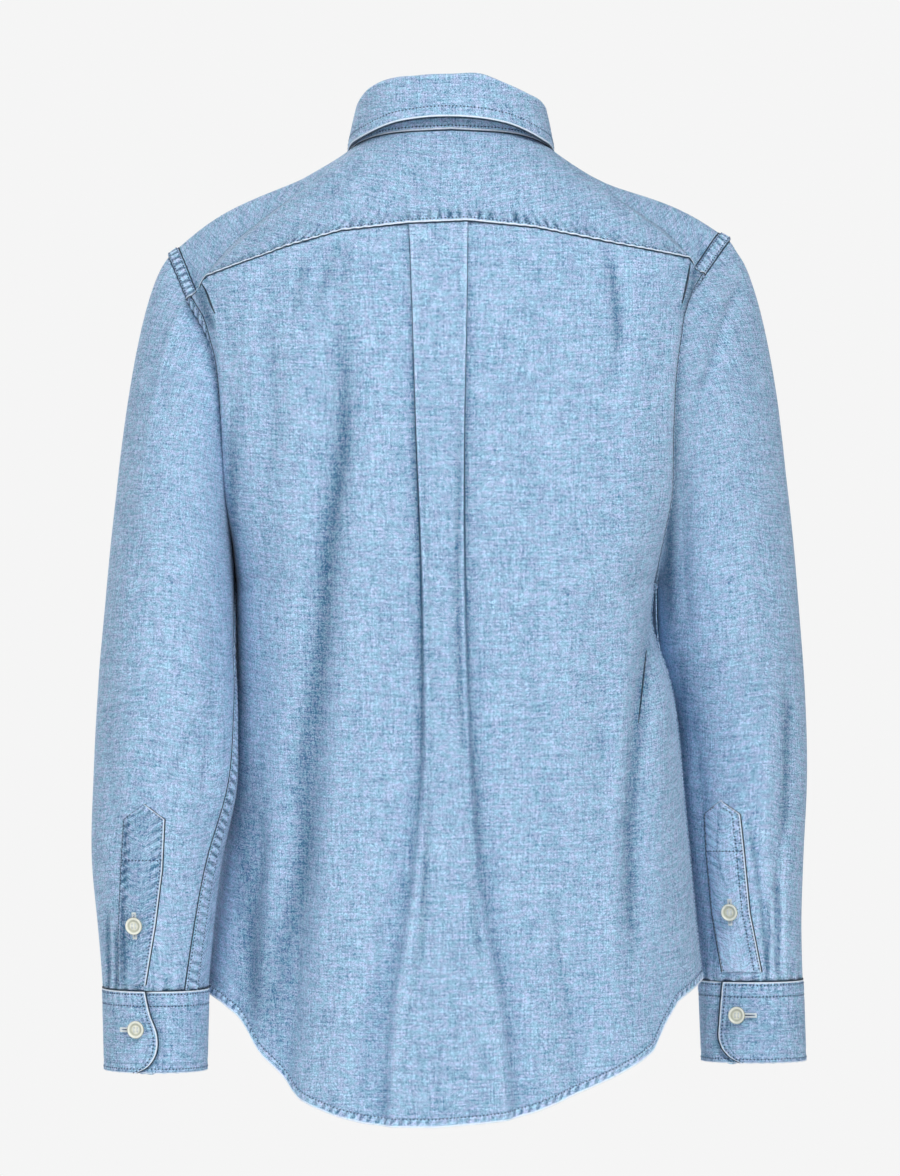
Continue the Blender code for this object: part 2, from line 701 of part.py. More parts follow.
def place_cuff(left):
    """The cuff wraps once round and on under its own outer end, whose edge shows at the back."""
    side = "left" if left else "right"
    table = SLEEVE_LEFT if left else SLEEVE_RIGHT
    top = table[-1][0] + 2 * SEAM_GAP
    edge_top, edge_middle = CUFF_EDGE_X[side]
    inner, outer, middle, depth = table[-1][1:]
    turn_way = 1 if left else -1

    def place(column, row):
        share = row / CUFF_ROWS
        drop = top + CUFF_HEIGHT * share
        edge_x = edge_top + (edge_middle - edge_top) * math.sin(math.pi * share)
        half = abs(outer - inner) / 2 + CUFF_PROUD - CUFF_TAPER * share
        edge = math.degrees(math.acos((edge_x - (inner + outer) / 2) / half))
        swept = (360 + CUFF_OVERLAP) * column / CUFF_COLUMNS
        angle = math.radians(edge - turn_way * swept)
        under = (THICK_WALL + CUFF_LAP_GAP) * ease(360 - CUFF_RAMP, 360, swept)
        x = (inner + outer) / 2 + (half - under) * math.cos(angle)
        y = middle + (depth + CUFF_PROUD - under) * math.sin(angle)
        return Vector((x, y, -drop))

    return place


# Making the pieces


def material(name, colour, roughness):
    found = bpy.data.materials.get(name)
    if found:
        return found
    made = bpy.data.materials.new(name)
    made.use_nodes = True
    shader = made.node_tree.nodes["Principled BSDF"]
    shader.inputs["Base Color"].default_value = colour
    shader.inputs["Roughness"].default_value = roughness
    shader.inputs["Metallic"].default_value = 0.0
    return made


def make_object(name, cloth, finish):
    mesh = bpy.data.meshes.new(name)
    cloth.to_mesh(mesh)
    cloth.free()
    mesh.materials.append(material(*finish))
    mesh.shade_smooth()
    made = bpy.data.objects.new(name, mesh)
    bpy.context.collection.objects.link(made)
    return made


def sheet(name, columns, rows, place, wall=WALL, tube=False, flip=False):
    """A cloth wall whose outer face runs through place(column, row)."""
    cloth = bmesh.new()
    bmesh.ops.create_grid(cloth, x_segments=columns, y_segments=rows, size=0.5)
    for point in cloth.verts:
        column = round((point.co.x + 0.5) * columns)
        row = round((0.5 - point.co.y) * rows)
        point.co = place(column, row) * MM
    if tube:
        bmesh.ops.remove_doubles(cloth, verts=cloth.verts[:], dist=1e-6)
    if flip:
        bmesh.ops.reverse_faces(cloth, faces=cloth.faces[:])
    made = make_object(name, cloth, CHAMBRAY)
    thicken = made.modifiers.new("wall", "SOLIDIFY")
    thicken.thickness = wall * MM
    thicken.offset = -1
    return made


def button_mesh():
    """A round button with a raised rim and four holes."""
    rim = BUTTON_RADIUS * MM
    high = BUTTON_HEIGHT * MM
    body = bmesh.new()
    points = [body.verts.new((share * rim, 0, height * high)) for share, height in BUTTON_PROFILE]
    edges = [body.edges.new(pair) for pair in zip(points, points[1:])]
    bmesh.ops.spin(
        body, geom=points + edges, axis=(0, 0, 1), steps=BUTTON_STEPS, angle=math.tau, use_merge=True
    )
    bmesh.ops.remove_doubles(body, verts=body.verts[:], dist=1e-6)
    bmesh.ops.recalc_face_normals(body, faces=body.faces[:])
    disc = make_object("button_blank", body, CREAM)
    holes = bmesh.new()
    hole = BUTTON_HOLE_RADIUS * MM
    for turn in range(4):
        angle = math.tau * (turn + 0.5) / 4
        made = bmesh.ops.create_cone(
            holes, cap_ends=True, segments=5, radius1=hole, radius2=hole, depth=4 * high
        )
        offset = Vector((math.cos(angle), math.sin(angle), 0)) * BUTTON_HOLE_OFFSET * MM
        bmesh.ops.translate(holes, verts=made["verts"], vec=offset)
    cutter = make_object("button_holes", holes, CREAM)
    cutter.hide_render = True
    cutter.display_type = "WIRE"
    cut = disc.modifiers.new("holes", "BOOLEAN")
    cut.operation = "DIFFERENCE"
    cut.object = cutter
    bpy.context.view_layer.update()
    graph = bpy.context.evaluated_depsgraph_get()
    mesh = bpy.data.meshes.new_from_object(disc.evaluated_get(graph))
    mesh.name = "button"
    bpy.data.objects.remove(disc)
    bpy.data.objects.remove(cutter)
    return mesh


def button(name, mesh, centre, outward):
    made = bpy.data.objects.new(name, mesh)
    made.location = centre * MM
    made.rotation_euler = outward.to_track_quat("Z", "Y").to_euler()
    bpy.context.collection.objects.link(made)


def sleeve_normal(left, x, drop):
    """Straight out from the back of a sleeve at x and this drop."""
    across = back_of_sleeve(left, x + 3, drop) - back_of_sleeve(left, x - 3, drop)
    down = back_of_sleeve(left, x, drop + 6) - back_of_sleeve(left, x, drop - 6)
    return across.cross(down).normalized()


def make_buttons():
    mesh = button_mesh()
    for side, left in (("left", True), ("right", False)):
        for part, places, lift in (
            ("cuff", CUFF_BUTTONS, CUFF_BUTTON_LIFT),
            ("sleeve", SLEEVE_BUTTONS, SLEEVE_BUTTON_LIFT),
        ):
            x, drop = places[side]
            outward = sleeve_normal(left, x, drop)
            button(f"{part}_button_{side}", mesh, back_of_sleeve(left, x, drop) + outward * lift, outward)
    placket = [place_front_placket(1, row) for row in range(BODY_ROWS + 1)]
    drops = [-point.z for point in placket]
    for number, drop in enumerate(FRONT_BUTTON_DROPS, start=1):
        y = float(np.interp(drop, drops, [point.y for point in placket]))
        below = float(np.interp(drop + BUTTON_RADIUS, drops, [point.y for point in placket]))
        outward = Vector((0, -BUTTON_RADIUS, y - below)).normalized()
        centre = Vector((0, y, -drop)) + outward * FRONT_BUTTON_LIFT
        button(f"front_button_{number}", mesh, centre, outward)
    middle = (place_band(BAND_COLUMNS, 1) + place_band(BAND_COLUMNS - 1, 1)) / 2
    centre = Vector((0, middle.y - COLLAR_BUTTON_LIFT, middle.z))
    button("collar_button", mesh, centre, Vector((0, -1, 0)))


def make_shirt():
    sheet("back", BACK_COLUMNS, BODY_ROWS, place_back, flip=True)
    sheet("yoke", YOKE_RAYS, YOKE_RINGS, place_yoke, flip=True)
    sheet("front_left", FRONT_COLUMNS, BODY_ROWS, place_front(True))
    sheet("front_right", FRONT_COLUMNS, BODY_ROWS, place_front(False), flip=True)
    sheet("front_placket", 2, BODY_ROWS, place_front_placket)
    sheet("collar_band", BAND_COLUMNS, BAND_ROWS, place_band, flip=True)
    sheet("collar", COLLAR_COLUMNS, COLLAR_ROWS, place_collar, COLLAR_WALL, flip=True)
    rounds = CAP_ROUNDS + SLEEVE_ROUNDS
    for side, left in (("left", True), ("right", False)):
        sheet(f"sleeve_{side}", SLEEVE_STEPS, rounds, place_sleeve(left), tube=True, flip=left)
        sheet(f"sleeve_placket_{side}", PLACKET_COLUMNS, PLACKET_ROWS, place_sleeve_placket(left), flip=left)
        sheet(f"cuff_{side}", CUFF_COLUMNS, CUFF_ROWS, place_cuff(left), THICK_WALL, flip=left)
    make_buttons()


def main():
    for old in list(bpy.data.objects):
        bpy.data.objects.remove(old)
    make_shirt()


main()
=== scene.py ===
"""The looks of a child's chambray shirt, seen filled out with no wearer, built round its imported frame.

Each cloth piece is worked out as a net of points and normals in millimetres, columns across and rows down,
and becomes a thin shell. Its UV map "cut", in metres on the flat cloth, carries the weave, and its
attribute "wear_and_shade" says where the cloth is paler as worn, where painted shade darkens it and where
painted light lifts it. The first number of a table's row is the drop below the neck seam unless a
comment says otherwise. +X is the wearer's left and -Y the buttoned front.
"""

import functools
import math

import bmesh
import bpy
import numpy as np
from mathutils import Matrix, Vector
from mathutils.bvhtree import BVHTree


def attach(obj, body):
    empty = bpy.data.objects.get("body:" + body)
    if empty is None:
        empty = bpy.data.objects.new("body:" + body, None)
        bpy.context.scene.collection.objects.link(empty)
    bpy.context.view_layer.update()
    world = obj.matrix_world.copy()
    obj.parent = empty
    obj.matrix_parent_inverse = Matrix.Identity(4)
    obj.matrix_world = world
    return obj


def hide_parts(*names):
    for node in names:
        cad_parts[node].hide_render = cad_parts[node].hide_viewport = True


bl_info = {
    "name": "Chambray Shirt",
    "version": (1, 0, 0),
    "blender": (4, 5, 0),
    "location": "View3D > Sidebar > Shirt",
    "description": "Cuts, sews and stages a child's chambray shirt",
    "category": "Object",
}

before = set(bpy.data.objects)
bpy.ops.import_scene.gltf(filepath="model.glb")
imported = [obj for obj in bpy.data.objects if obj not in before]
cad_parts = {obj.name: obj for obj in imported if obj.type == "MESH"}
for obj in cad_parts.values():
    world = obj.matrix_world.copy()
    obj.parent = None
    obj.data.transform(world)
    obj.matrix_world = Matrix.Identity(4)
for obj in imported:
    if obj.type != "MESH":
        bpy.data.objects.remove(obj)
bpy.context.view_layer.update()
MM = 0.001
BODY = "root"
SIDES = (("left", True), ("right", False))
ENDS = ("first", "last")

# The neck seam, an oval that drops from the nape to the front: angle from the middle of the back, height.
NECK_HALF_WIDTH = 62.0
NECK_HALF_DEPTH = 46.0
NECK_HEIGHT = ((0, 14.4), (40, 11.5), (90, -1.2), (120, -10.0), (150, -24.0), (180, -30.0))

BODY_DEPTH = (  # drop, back y, front y
    (-20, 50.0, -20.0),
    (15, 66.0, -34.0),
    (40, 80.0, -55.0),
    (80, 91.0, -79.0),
    (130, 97.0, -97.0),
    (220, 98.0, -106.0),
    (330, 94.0, -104.0),
    (450, 96.0, -103.0),
    (580, 100.0, -104.0),
)
SIDE_SEAM = (  # drop, left x, right x
    (257, 129.0, -123.0),
    (291, 129.5, -124.5),
    (327, 131.0, -133.0),
    (390, 135.0, -140.0),
    (450, 143.0, -145.8),
    (498, 150.5, -151.0),
)
ROUNDNESS = (  # drop, power of the oval
    (0, 2.3), (190, 2.4), (257, 3.1), (330, 2.7), (450, 2.4), (580, 2.3),
)
UNDERARM_DROP = 257.0

ARMHOLE_BACK_LEFT = (  # drop, x, y
    (88, 157.0, 37.0),
    (118, 141.0, 50.0),
    (160, 135.0, 53.0),
    (205, 132.5, 44.0),
    (240, 130.0, 20.0),
    (257, 129.0, 0.0),
)
ARMHOLE_BACK_RIGHT = (
    (73, -151.0, 36.0),
    (90, -139.5, 46.0),
    (120, -133.0, 52.0),
    (160, -130.0, 53.0),
    (205, -129.0, 42.0),
    (240, -125.5, 20.0),
    (257, -123.0, 0.0),
)
ARMHOLE_FRONT_LEFT = (
    (88, 160.0, -34.0),
    (118, 145.0, -57.0),
    (160, 136.0, -66.0),
    (205, 132.0, -55.0),
    (240, 130.0, -24.0),
    (257, 129.0, 0.0),
)
ARMHOLE_FRONT_RIGHT = (
    (76, -156.0, -34.0),
    (110, -141.0, -57.0),
    (155, -133.0, -66.0),
    (205, -129.0, -55.0),
    (240, -125.5, -24.0),
    (257, -123.0, 0.0),
)
ARMHOLE_TOP_LEFT = ((0.0, 160.0, -34.0, -88.0), (0.5, 169.0, 2.0, -61.0), (1.0, 157.0, 37.0, -88.0))
ARMHOLE_TOP_RIGHT = ((0.0, -156.0, -34.0, -76.0), (0.5, -167.0, 2.0, -51.5), (1.0, -151.0, 36.0, -73.0))

BACK_YOKE_SEAM = (  # x, drop
    (-151, 73), (-142, 63), (-90, 53), (-50, 45), (-10, 41),
    (25, 42.5), (66, 47), (100, 57), (146, 74), (157, 88),
)
BACK_HEM = (
    (-151, 494), (-147, 498), (-135.6, 507), (-127.8, 520), (-120, 536), (-112, 542), (-97, 551),
    (-81, 559), (-65, 566), (-50, 572), (-34, 576.6), (-18, 578.5), (10, 580.8), (36, 580.5),
    (52, 578.5), (67, 574.3), (83, 568.3), (91, 564.6), (98.4, 558.6), (106, 549.6), (114, 539.5),
    (122, 526.3), (130, 514.3), (137.5, 507), (150.5, 498),
)
FRONT_HEM = (
    (-151, 494), (-134, 506), (-118, 528), (-88, 548), (-40, 560), (0, 562),
    (40, 560), (88, 549), (118, 529), (134, 508), (150.5, 498),
)
YOKE_AT_NECK = 104.0
YOKE_CORNER_AT_NECK = 64.0
YOKE_RISE = (  # angle round the neck, rise halfway out, shift of that rise towards the armhole
    (-104, 0.5, 2.0),
    (-84, 1.0, 2.6),
    (-64, 4.0, 2.8),
    (-45, 2.0, 1.0),
    (0, 3.0, 0.0),
    (45, 3.6, 0.0),
    (64, 6.0, 2.4),
    (84, 4.6, 2.2),
    (104, 3.0, 1.5),
)
YOKE_SLOPE = (0.25, 0.35, 60.0)
YOKE_OVER_PLEAT = (-22, -6, 20, 36)  # where the pleat starts and stops lifting the yoke's back seam
YOKE_CREASES = (
    (((157, 58), (156, 66), (152, 80), (150, 92)), -1.6, 3.2),
    (((-150, 44), (-150, 58), (-147, 68), (-145, 78)), -1.6, 3.2),
    (((84, 4), (96, 20), (112, 34), (126, 52)), -0.9, 8.0),
    (((-82, 2), (-96, 18), (-110, 32), (-122, 48)), -0.9, 8.0),
    (((30, -12), (34, 6), (40, 24), (44, 40)), 0.7, 10.0),
    (((-34, -12), (-40, 8), (-48, 26), (-52, 44)), 0.7, 10.0),
)
# How the yoke's edge rises to lap over the back and the fronts.
LAP_RAMP = 9.0
LAP_RISE = 1.1

PLEAT = (  # drop, left edge x, right edge x, groove depth, width of the step at each edge
    (40, 24.6, -9.6, 0.6, 0.8),
    (90, 22.8, -9.0, 1.6, 0.9),
    (160, 20.5, -7.5, 2.4, 1.2),
    (280, 15.5, -7.2, 3.6, 3.0),
    (385, 15.5, -11.0, 5.0, 5.0),
    (460, 23.0, -17.4, 6.0, 7.0),
    (510, 30.6, -26.0, 6.0, 8.0),
    (580, 34.0, -32.0, 5.0, 8.0),
)
PLEAT_RISE = 1.3
GROOVE_WIDTH = 11.0
# The pleat's folds are pale as worn, with painted shade in the steps beside them, down to where they
# soften.
CRISP_DROPS = (170.0, 380.0)
PLEAT_PALE = 0.6
PLEAT_DARK = 2.6

FOLD_DROPS = (60.0, 310.0, 560.0)
BACK_FOLDS = (  # x at each drop, depth at each drop, half width
    (66, 79, 104, -1.0, -5.0, -9.0, 13.0),
    (50, 48, 62, 0.0, 2.0, 4.0, 14.0),
    (108, 112, 126, -2.0, -1.0, -4.0, 9.0),
    (-95, -88, -72, -1.5, -1.0, -3.5, 14.0),
    (-60, -58, -112, 0.0, 1.5, 3.0, 16.0),
)
FRONT_FOLDS = (
    (-70, -64, -84, -1.0, -3.0, -6.0, 13.0),
    (72, 58, 66, -1.0, -2.5, -5.5, 14.0),
    (112, 104, 120, -1.5, -2.0, -4.0, 10.0),
    (-40, -36, -40, 0.0, 1.5, 3.0, 14.0),
)

# The smaller creases: the points that each runs through as (x, drop), its depth and its half width. A
# trough has a negative depth, and a crease fades out at both ends.
BACK_CREASES = (
    (
        ((66, 70), (65, 177), (74, 240), (79, 300), (87, 380), (95, 460), (102, 560), (104, 600)),
        -2.6, 5.5,
    ),
    (((52, 170), (58, 260), (66, 340), (72, 430), (80, 540)), 1.6, 9.0),
    (((110, 100), (108, 125), (106, 160), (109, 200)), -1.7, 7.0),
    (((90, 45), (78, 62), (66, 88)), -1.0, 6.0),
    (((119, 380), (116, 423), (122, 459), (124, 500), (128, 530)), -2.4, 6.0),
    (((102, 400), (108, 450), (113, 500), (117, 560)), 1.8, 7.0),
    (((-92, 55), (-97, 80), (-98, 117), (-92, 150)), -1.5, 6.0),
    (((-112, 70), (-110, 100), (-104, 150), (-102, 220)), 1.0, 9.0),
    (
        ((-132, 225), (-126, 260), (-120, 290), (-114.6, 318), (-111, 351), (-108, 390), (-107.5, 490)),
        -4.0, 6.0,
    ),
    (((-106, 262), (-101, 320), (-97, 390), (-96, 470), (-98, 530)), 2.0, 7.0),
    (((-129, 280), (-125, 330), (-124, 390), (-125, 470), (-130, 500)), 1.6, 7.0),
    (((-40, 130), (-48, 220), (-52, 330), (-56, 430)), -1.0, 12.0),
    (((-58, 420), (-66, 480), (-74, 540), (-78, 590)), -2.2, 7.0),
    (((40, 440), (46, 500), (52, 560), (54, 600)), -2.0, 6.0),
    (((-88, 300), (-92, 380), (-98, 460), (-102, 540)), -1.3, 9.0),
)
FRONT_CREASES = (
    (((-82, 90), (-90, 130), (-104, 180)), -1.8, 7.0),
    (((84, 95), (92, 140), (106, 190)), -1.6, 8.0),
    (((62, 200), (58, 290), (64, 380), (72, 480), (76, 590)), -2.2, 8.0),
    (((-64, 190), (-70, 280), (-78, 390), (-84, 500), (-86, 590)), -2.6, 7.0),
    (((40, 330), (38, 420), (42, 520), (44, 590)), 1.6, 9.0),
    (((-38, 360), (-40, 450), (-46, 530), (-48, 590)), -1.4, 7.0),
    (((-112, 230), (-106, 300), (-104, 380), (-108, 470)), 2.0, 9.0),
    (((112, 240), (106, 310), (108, 400), (116, 480)), -2.0, 8.0),
)
ARMHOLE_ROLLS = (  # where the back rolls out beside each armhole's seam, told as the creases are
    (((147, 76), (144, 87), (139, 99), (137.4, 111), (134, 147), (133, 190), (130, 240)), 3.0, 4.2),
    (((-142.5, 64), (-141, 76), (-138.5, 90), (-132.6, 117), (-130, 177), (-129, 243)), 3.2, 4.5),
)

# Painted shade where shade falls on the back, in its folds, beside the pleat, the armholes and the
# sleeves, and one line of painted light against a shadow; told as the creases are, with a tone for a
# depth.
BACK_SHADES = (
    (((152, 76), (149.5, 84), (146, 95), (141.5, 108)), -1.8, 3.2),
    (((-146, 62), (-144.5, 76), (-141, 90), (-138, 102)), -1.6, 2.8),
    (
        ((22, 110), (21, 150), (16.2, 270), (15.6, 350), (16.2, 435), (18, 470), (23.4, 500), (25, 525)),
        -1.1, 2.6,
    ),
    (
        ((-7.2, 110), (-7.2, 330), (-12, 380), (-14.5, 430), (-17, 470), (-24.6, 498), (-29.4, 535)),
        -1.2, 3.0,
    ),
    (((129.5, 280), (131, 340), (132, 400), (134, 450), (140, 500)), 0.9, 5.0),
    (((131, 140), (130.5, 190), (129, 250), (127, 310), (126, 380)), -1.5, 4.0),
    (((-121, 270), (-115, 320), (-111, 355), (-108, 390), (-108, 490)), -1.3, 3.4),
    (
        (
            (65, 70), (65, 177), (73, 235), (79, 300), (87, 360), (88, 423), (95, 460), (101, 500),
            (104, 560),
        ),
        -1.3, 7.0,
    ),
    (((127, 340), (122, 420), (118, 470), (114, 510), (106, 545)), -1.2, 11.0),
    (((-93, 60), (-97, 78), (-99, 100), (-99, 125)), -1.0, 3.2),
    (((87, 56), (88, 70), (91, 88), (92, 100)), -0.8, 3.2),
    (((66, 50), (70, 64), (78, 86), (80, 96)), -0.8, 3.4),
    (((60, 50), (62, 70), (63, 90)), -0.5, 3.0),
)
# The painted shadow lines in the folds beside the armholes: points as (x, drop), and the greatest width.
CREST_LINES = (
    (((148.8, 78), (147, 81), (143.4, 90), (140.4, 97)), 1.2),
    (((-142.8, 66), (-141.2, 75), (-138.6, 87), (-137.6, 91)), 1.2),
    (((-116.6, 297), (-115.4, 308), (-113.6, 324), (-111.6, 342)), 0.9),
)
# Painted shade on the sleeves, told as the back's: beside the body where shade falls and in the pleats
# above the cuffs, with painted light on the pleats' ridges.
SLEEVE_SHADES = {
    "left": (
        (((150, 96), (142, 120), (137, 150), (134, 190)), -1.2, 4.0),
        (((205.2, 452), (204.4, 475), (203.6, 505)), -2.0, 1.6),
        (((202.6, 452), (202.4, 475), (201.8, 505)), 1.4, 1.4),
        (((200.2, 458), (199.9, 478), (199.4, 505)), -1.8, 1.4),
    ),
    "right": (
        (((-144, 84), (-138, 96), (-134, 118), (-132, 177), (-131, 243), (-133, 300)), -1.9, 3.8),
        (((-138, 270), (-139.5, 327), (-142, 387), (-146, 460), (-149, 500)), -0.7, 2.4),
        (((-190.4, 440), (-191.0, 470), (-190.2, 500)), -2.0, 1.5),
        (((-192.8, 440), (-193.4, 470), (-192.8, 500)), 1.6, 1.5),
        (((-196.8, 430), (-197.2, 465), (-196.4, 500)), -1.8, 1.5),
        (((-199.4, 400), (-200.0, 450), (-199.0, 500)), 1.2, 1.6),
        (((-202.5, 310), (-202.0, 360), (-200.5, 420)), -1.2, 2.6),
    ),
}

# The front opening.
PLACKET_HALF_WIDTH = 15.0
UNDERLAP_EDGE = 12.0
UNDERLAP_DEPTH = 3.4
UNDERLAP_RAMP = (-46.0, -19.0)
FRONT_BLEND = 0.44

SLEEVE_LEFT = (  # drop, inner x, outer x, middle y, half depth
    (283, 129.4, 206.6, 36.0, 55.0),
    (327, 127.8, 211.0, 45.0, 50.0),
    (375, 127.8, 213.6, 48.0, 44.0),
    (423, 137.0, 214.6, 47.0, 41.0),
    (460, 141.5, 211.2, 46.0, 37.0),
    (498, 145.0, 207.8, 45.0, 32.5),
)
SLEEVE_RIGHT = (
    (283, -124.0, -209.0, -34.0, 54.0),
    (327, -134.4, -213.0, -44.0, 48.0),
    (375, -137.0, -214.6, -48.0, 44.0),
    (423, -142.0, -212.4, -49.0, 41.0),
    (460, -146.5, -211.2, -48.0, 37.0),
    (495, -149.5, -211.8, -47.0, 32.5),
)
SLEEVE_TILT = ((283, 16.0), (327, 9.0), (375, 4.0), (423, 1.0), (500, 0.0))
SLEEVE_TWIST = {
    "left": ((300, 0.0), (363, 13.0), (430, 26.0), (498, 37.0)),
    "right": ((300, 0.0), (498, -10.0)),
}
CAP_SHARES = {"left": (0.60, 0.5, 0.13), "right": (0.66, 0.5, 0.13)}
CAP_START = 1.0
# The creases' depth, stretch across and shifts across and up, round the front of a sleeve.
HIDDEN_CREASES = (0.8, 1.02, 4, 26)
SLEEVE_CREASES = {
    "left": (
        (((176, 120), (168, 160), (158, 200), (150, 232)), -1.6, 6.0),
        (((196, 180), (190, 230), (178, 280), (160, 320)), -1.2, 8.0),
        (((206, 300), (204, 350), (200, 400), (198, 430)), -1.2, 7.0),
        (((150, 330), (160, 360), (172, 380)), -1.5, 6.0),
        (((146, 240), (141, 300), (146, 360), (152, 420)), -1.6, 6.0),
        (((205.5, 445), (204.5, 470), (203.5, 500)), -1.7, 2.6),
        (((199.6, 455), (199.4, 475), (199.2, 500)), -1.5, 2.2),
    ),
    "right": (
        (((-176, 70), (-168, 90), (-158, 120), (-149, 150)), -2.8, 4.5),
        (((-145, 170), (-140, 200), (-139, 243), (-142, 300)), -2.6, 6.0),
        (((-200, 170), (-194, 230), (-180, 290)), -1.0, 9.0),
        (((-200, 290), (-202, 340), (-200, 400), (-197, 440)), -1.8, 4.5),
        (((-190, 330), (-189, 380), (-187, 420), (-186, 460)), 1.4, 6.0),
        (((-178, 395), (-184, 430), (-189, 470), (-191, 497)), -2.2, 3.4),
        (((-196, 420), (-196, 455), (-195.5, 497)), -2.2, 3.0),
        (((-146, 330), (-150, 390), (-155, 450), (-158, 497)), -1.8, 5.0),
    ),
}

CUFF_HEIGHT = 48.6
CUFF_PROUD = 0.8
# How much the cuff's inner and outer sides draw in, going down.
CUFF_TAPER = {"left": (1.2, 1.2), "right": (2.0, -1.6)}
CUFF_DIP = {"left": 1.8, "right": 1.1}  # how far the cuff hangs lower at the back of the arm
CUFF_DIP_STARTS = 430.0
CUFF_OVERLAP = 40.0
CUFF_RAMP = 22.0
CUFF_UNDER = 2.4
CUFF_GAP = 0.6
CUFF_END = {  # share of the height, x of the outer end
    "left": (
        (0.0, 182.6), (0.3, 179.2), (0.5, 175.6), (0.68, 175.0), (0.84, 177.6), (0.94, 182.0),
        (1.0, 187.5),
    ),
    "right": (
        (0.0, -163.2), (0.3, -162.0), (0.5, -161.3), (0.74, -161.4), (0.88, -165.0), (0.95, -169.0),
        (1.0, -174.0),
    ),
}

SLEEVE_PLACKET = {  # drop, outer edge x, inner edge x
    "left": (
        (388.5, 183.6, 182.4),
        (397.5, 195.0, 170.5),
        (428, 197.0, 172.0),
        (460, 198.2, 176.0),
        (496.5, 198.0, 182.0),
    ),
    "right": (
        (387, -161.4, -162.6),
        (395.5, -173.5, -152.5),
        (419, -176.0, -153.6),
        (455, -179.5, -157.0),
        (490.5, -186.5, -163.0),
    ),
}
PLACKET_BAR = {"left": 423.0, "right": 419.0}  # drop of the stitching across each sleeve placket
PLACKET_ROWS = {  # the edges of each sleeve placket that are sewn, and how far in
    "left": (("first", 1.5), ("last", 1.9)),
    "right": (("first", 1.6), ("first", 5.0), ("last", 1.6)),
}
PLACKET_FOLDS = {"left": ("last",), "right": ("first", "last")}
# Painted tones of the sleeve plackets: the right one painted lighter against the shade it stands in, the
# left one darker, and lines of painted shade in their creases.
PLACKET_TONE = {"left": -0.4, "right": 1.2}
PLACKET_SHADES = {
    "left": (
        (((193.6, 392), (194.4, 420), (194.8, 440)), -1.4, 1.8),
        (((195.6, 430), (195.6, 460), (195.2, 500)), -1.6, 1.8),
    ),
    "right": (
        (((-162, 380), (-160.6, 400), (-160.4, 420), (-163, 434), (-168.5, 445)), -2.0, 1.3),
        (((-171, 392), (-173.5, 420), (-176.5, 450), (-183, 500)), -1.2, 2.2),
    ),
}

COLLAR_FOLD = (  # angle, x, y, z on the left, z on the right
    (0, 0.0, 41.5, 47.6, 47.6),
    (20, 19.0, 39.5, 47.2, 47.8),
    (38, 34.0, 33.5, 45.6, 41.8),
    (55, 45.5, 24.5, 42.2, 36.4),
    (72, 52.0, 13.0, 35.6, 33.0),
    (90, 55.2, 0.0, 26.5, 27.0),
    (120, 50.0, -22.0, 9.0, 9.0),
    (150, 30.0, -38.5, -4.0, -4.0),
    (180, 0.0, -45.0, -8.0, -8.0),
)
COLLAR_EDGE = (
    (0, 0.0, 54.5, 22.0, 22.0),
    (30, 32.0, 49.5, 19.0, 18.5),
    (60, 55.0, 31.0, 9.5, 8.5),
    (90, 62.0, 0.0, 2.0, 1.0),
    (120, 62.0, -34.0, -16.0, -16.0),
    (150, 51.0, -62.0, -47.0, -47.0),
    (180, 33.0, -84.0, -76.0, -76.0),
)
COLLAR_ENDS = 176.0
ROLL = 2.6
LEAF_BULGE = 0.5
BAND_OVERLAP = 20.0
BAND_TOP_GAP = 2.7
# Painted light that lifts the band out of the shade under the collar's leaf.
BAND_PAINTED_LIGHT = 0.7
CREASES_LOWER = 60
COLLAR_CREASES = (  # as the others, but told this much lower
    (((20, 0), (22, 20), (24, 40)), -0.5, 7.0),
    (((-22, 4), (-26, 24), (-28, 44)), -0.5, 7.0),
    (((44, 10), (50, 34), (54, 52)), -0.7, 6.0),
)
ROLL_FALL = (-0.8, 1.6)
PLACKET_LIFT = 1.2
CREASE_FADE = 0.24
CREASE_POWER = 1.6

# How finely the cloth is divided: columns and rows of each net, with the rows set closer at some seams.
BACK_PANEL_COLUMNS = 66
BACK_STEP_COLUMNS = 4
BACK_PLEAT_COLUMNS = 18
SEAM_ROWS = (0.0, 0.02, 0.05)
ARMHOLE_ROWS = 70
BODY_ROWS = 84
UNDERARM_ROW = len(SEAM_ROWS) + ARMHOLE_ROWS - 1
YOKE_SHOULDER_COLUMNS = 46
YOKE_BACK_COLUMNS = 390
YOKE_ROWS = 42
YOKE_FINE_ROWS = (0.012, 0.004)
FRONT_NECK_COLUMNS = 30
FRONT_SEAM_COLUMNS = 40
SLEEVE_COLUMNS = 180
CAP_ROWS = 58
SLEEVE_ROWS = 72
COLLAR_COLUMNS = 240
PLACKET_COLUMNS = 20
LEAF_ROWS = 34
ROLL_ROWS = 8
BAND_COLUMNS = 260
BAND_ROWS = 12
CUFF_COLUMNS = 160
CUFF_ROWS = 34
SLEEVE_PLACKET_COLUMNS = 18
SLEEVE_PLACKET_ROWS = 84

# The same counts as the solids use to say where along an armhole or a front a column lies.
ARMHOLE_PART = 8
BODY_PART = 9
SHOULDER_PART = 6
NECK_PART = 4
SEAM_PART = 7
SLEEVE_PART = 2 * ARMHOLE_PART + SHOULDER_PART

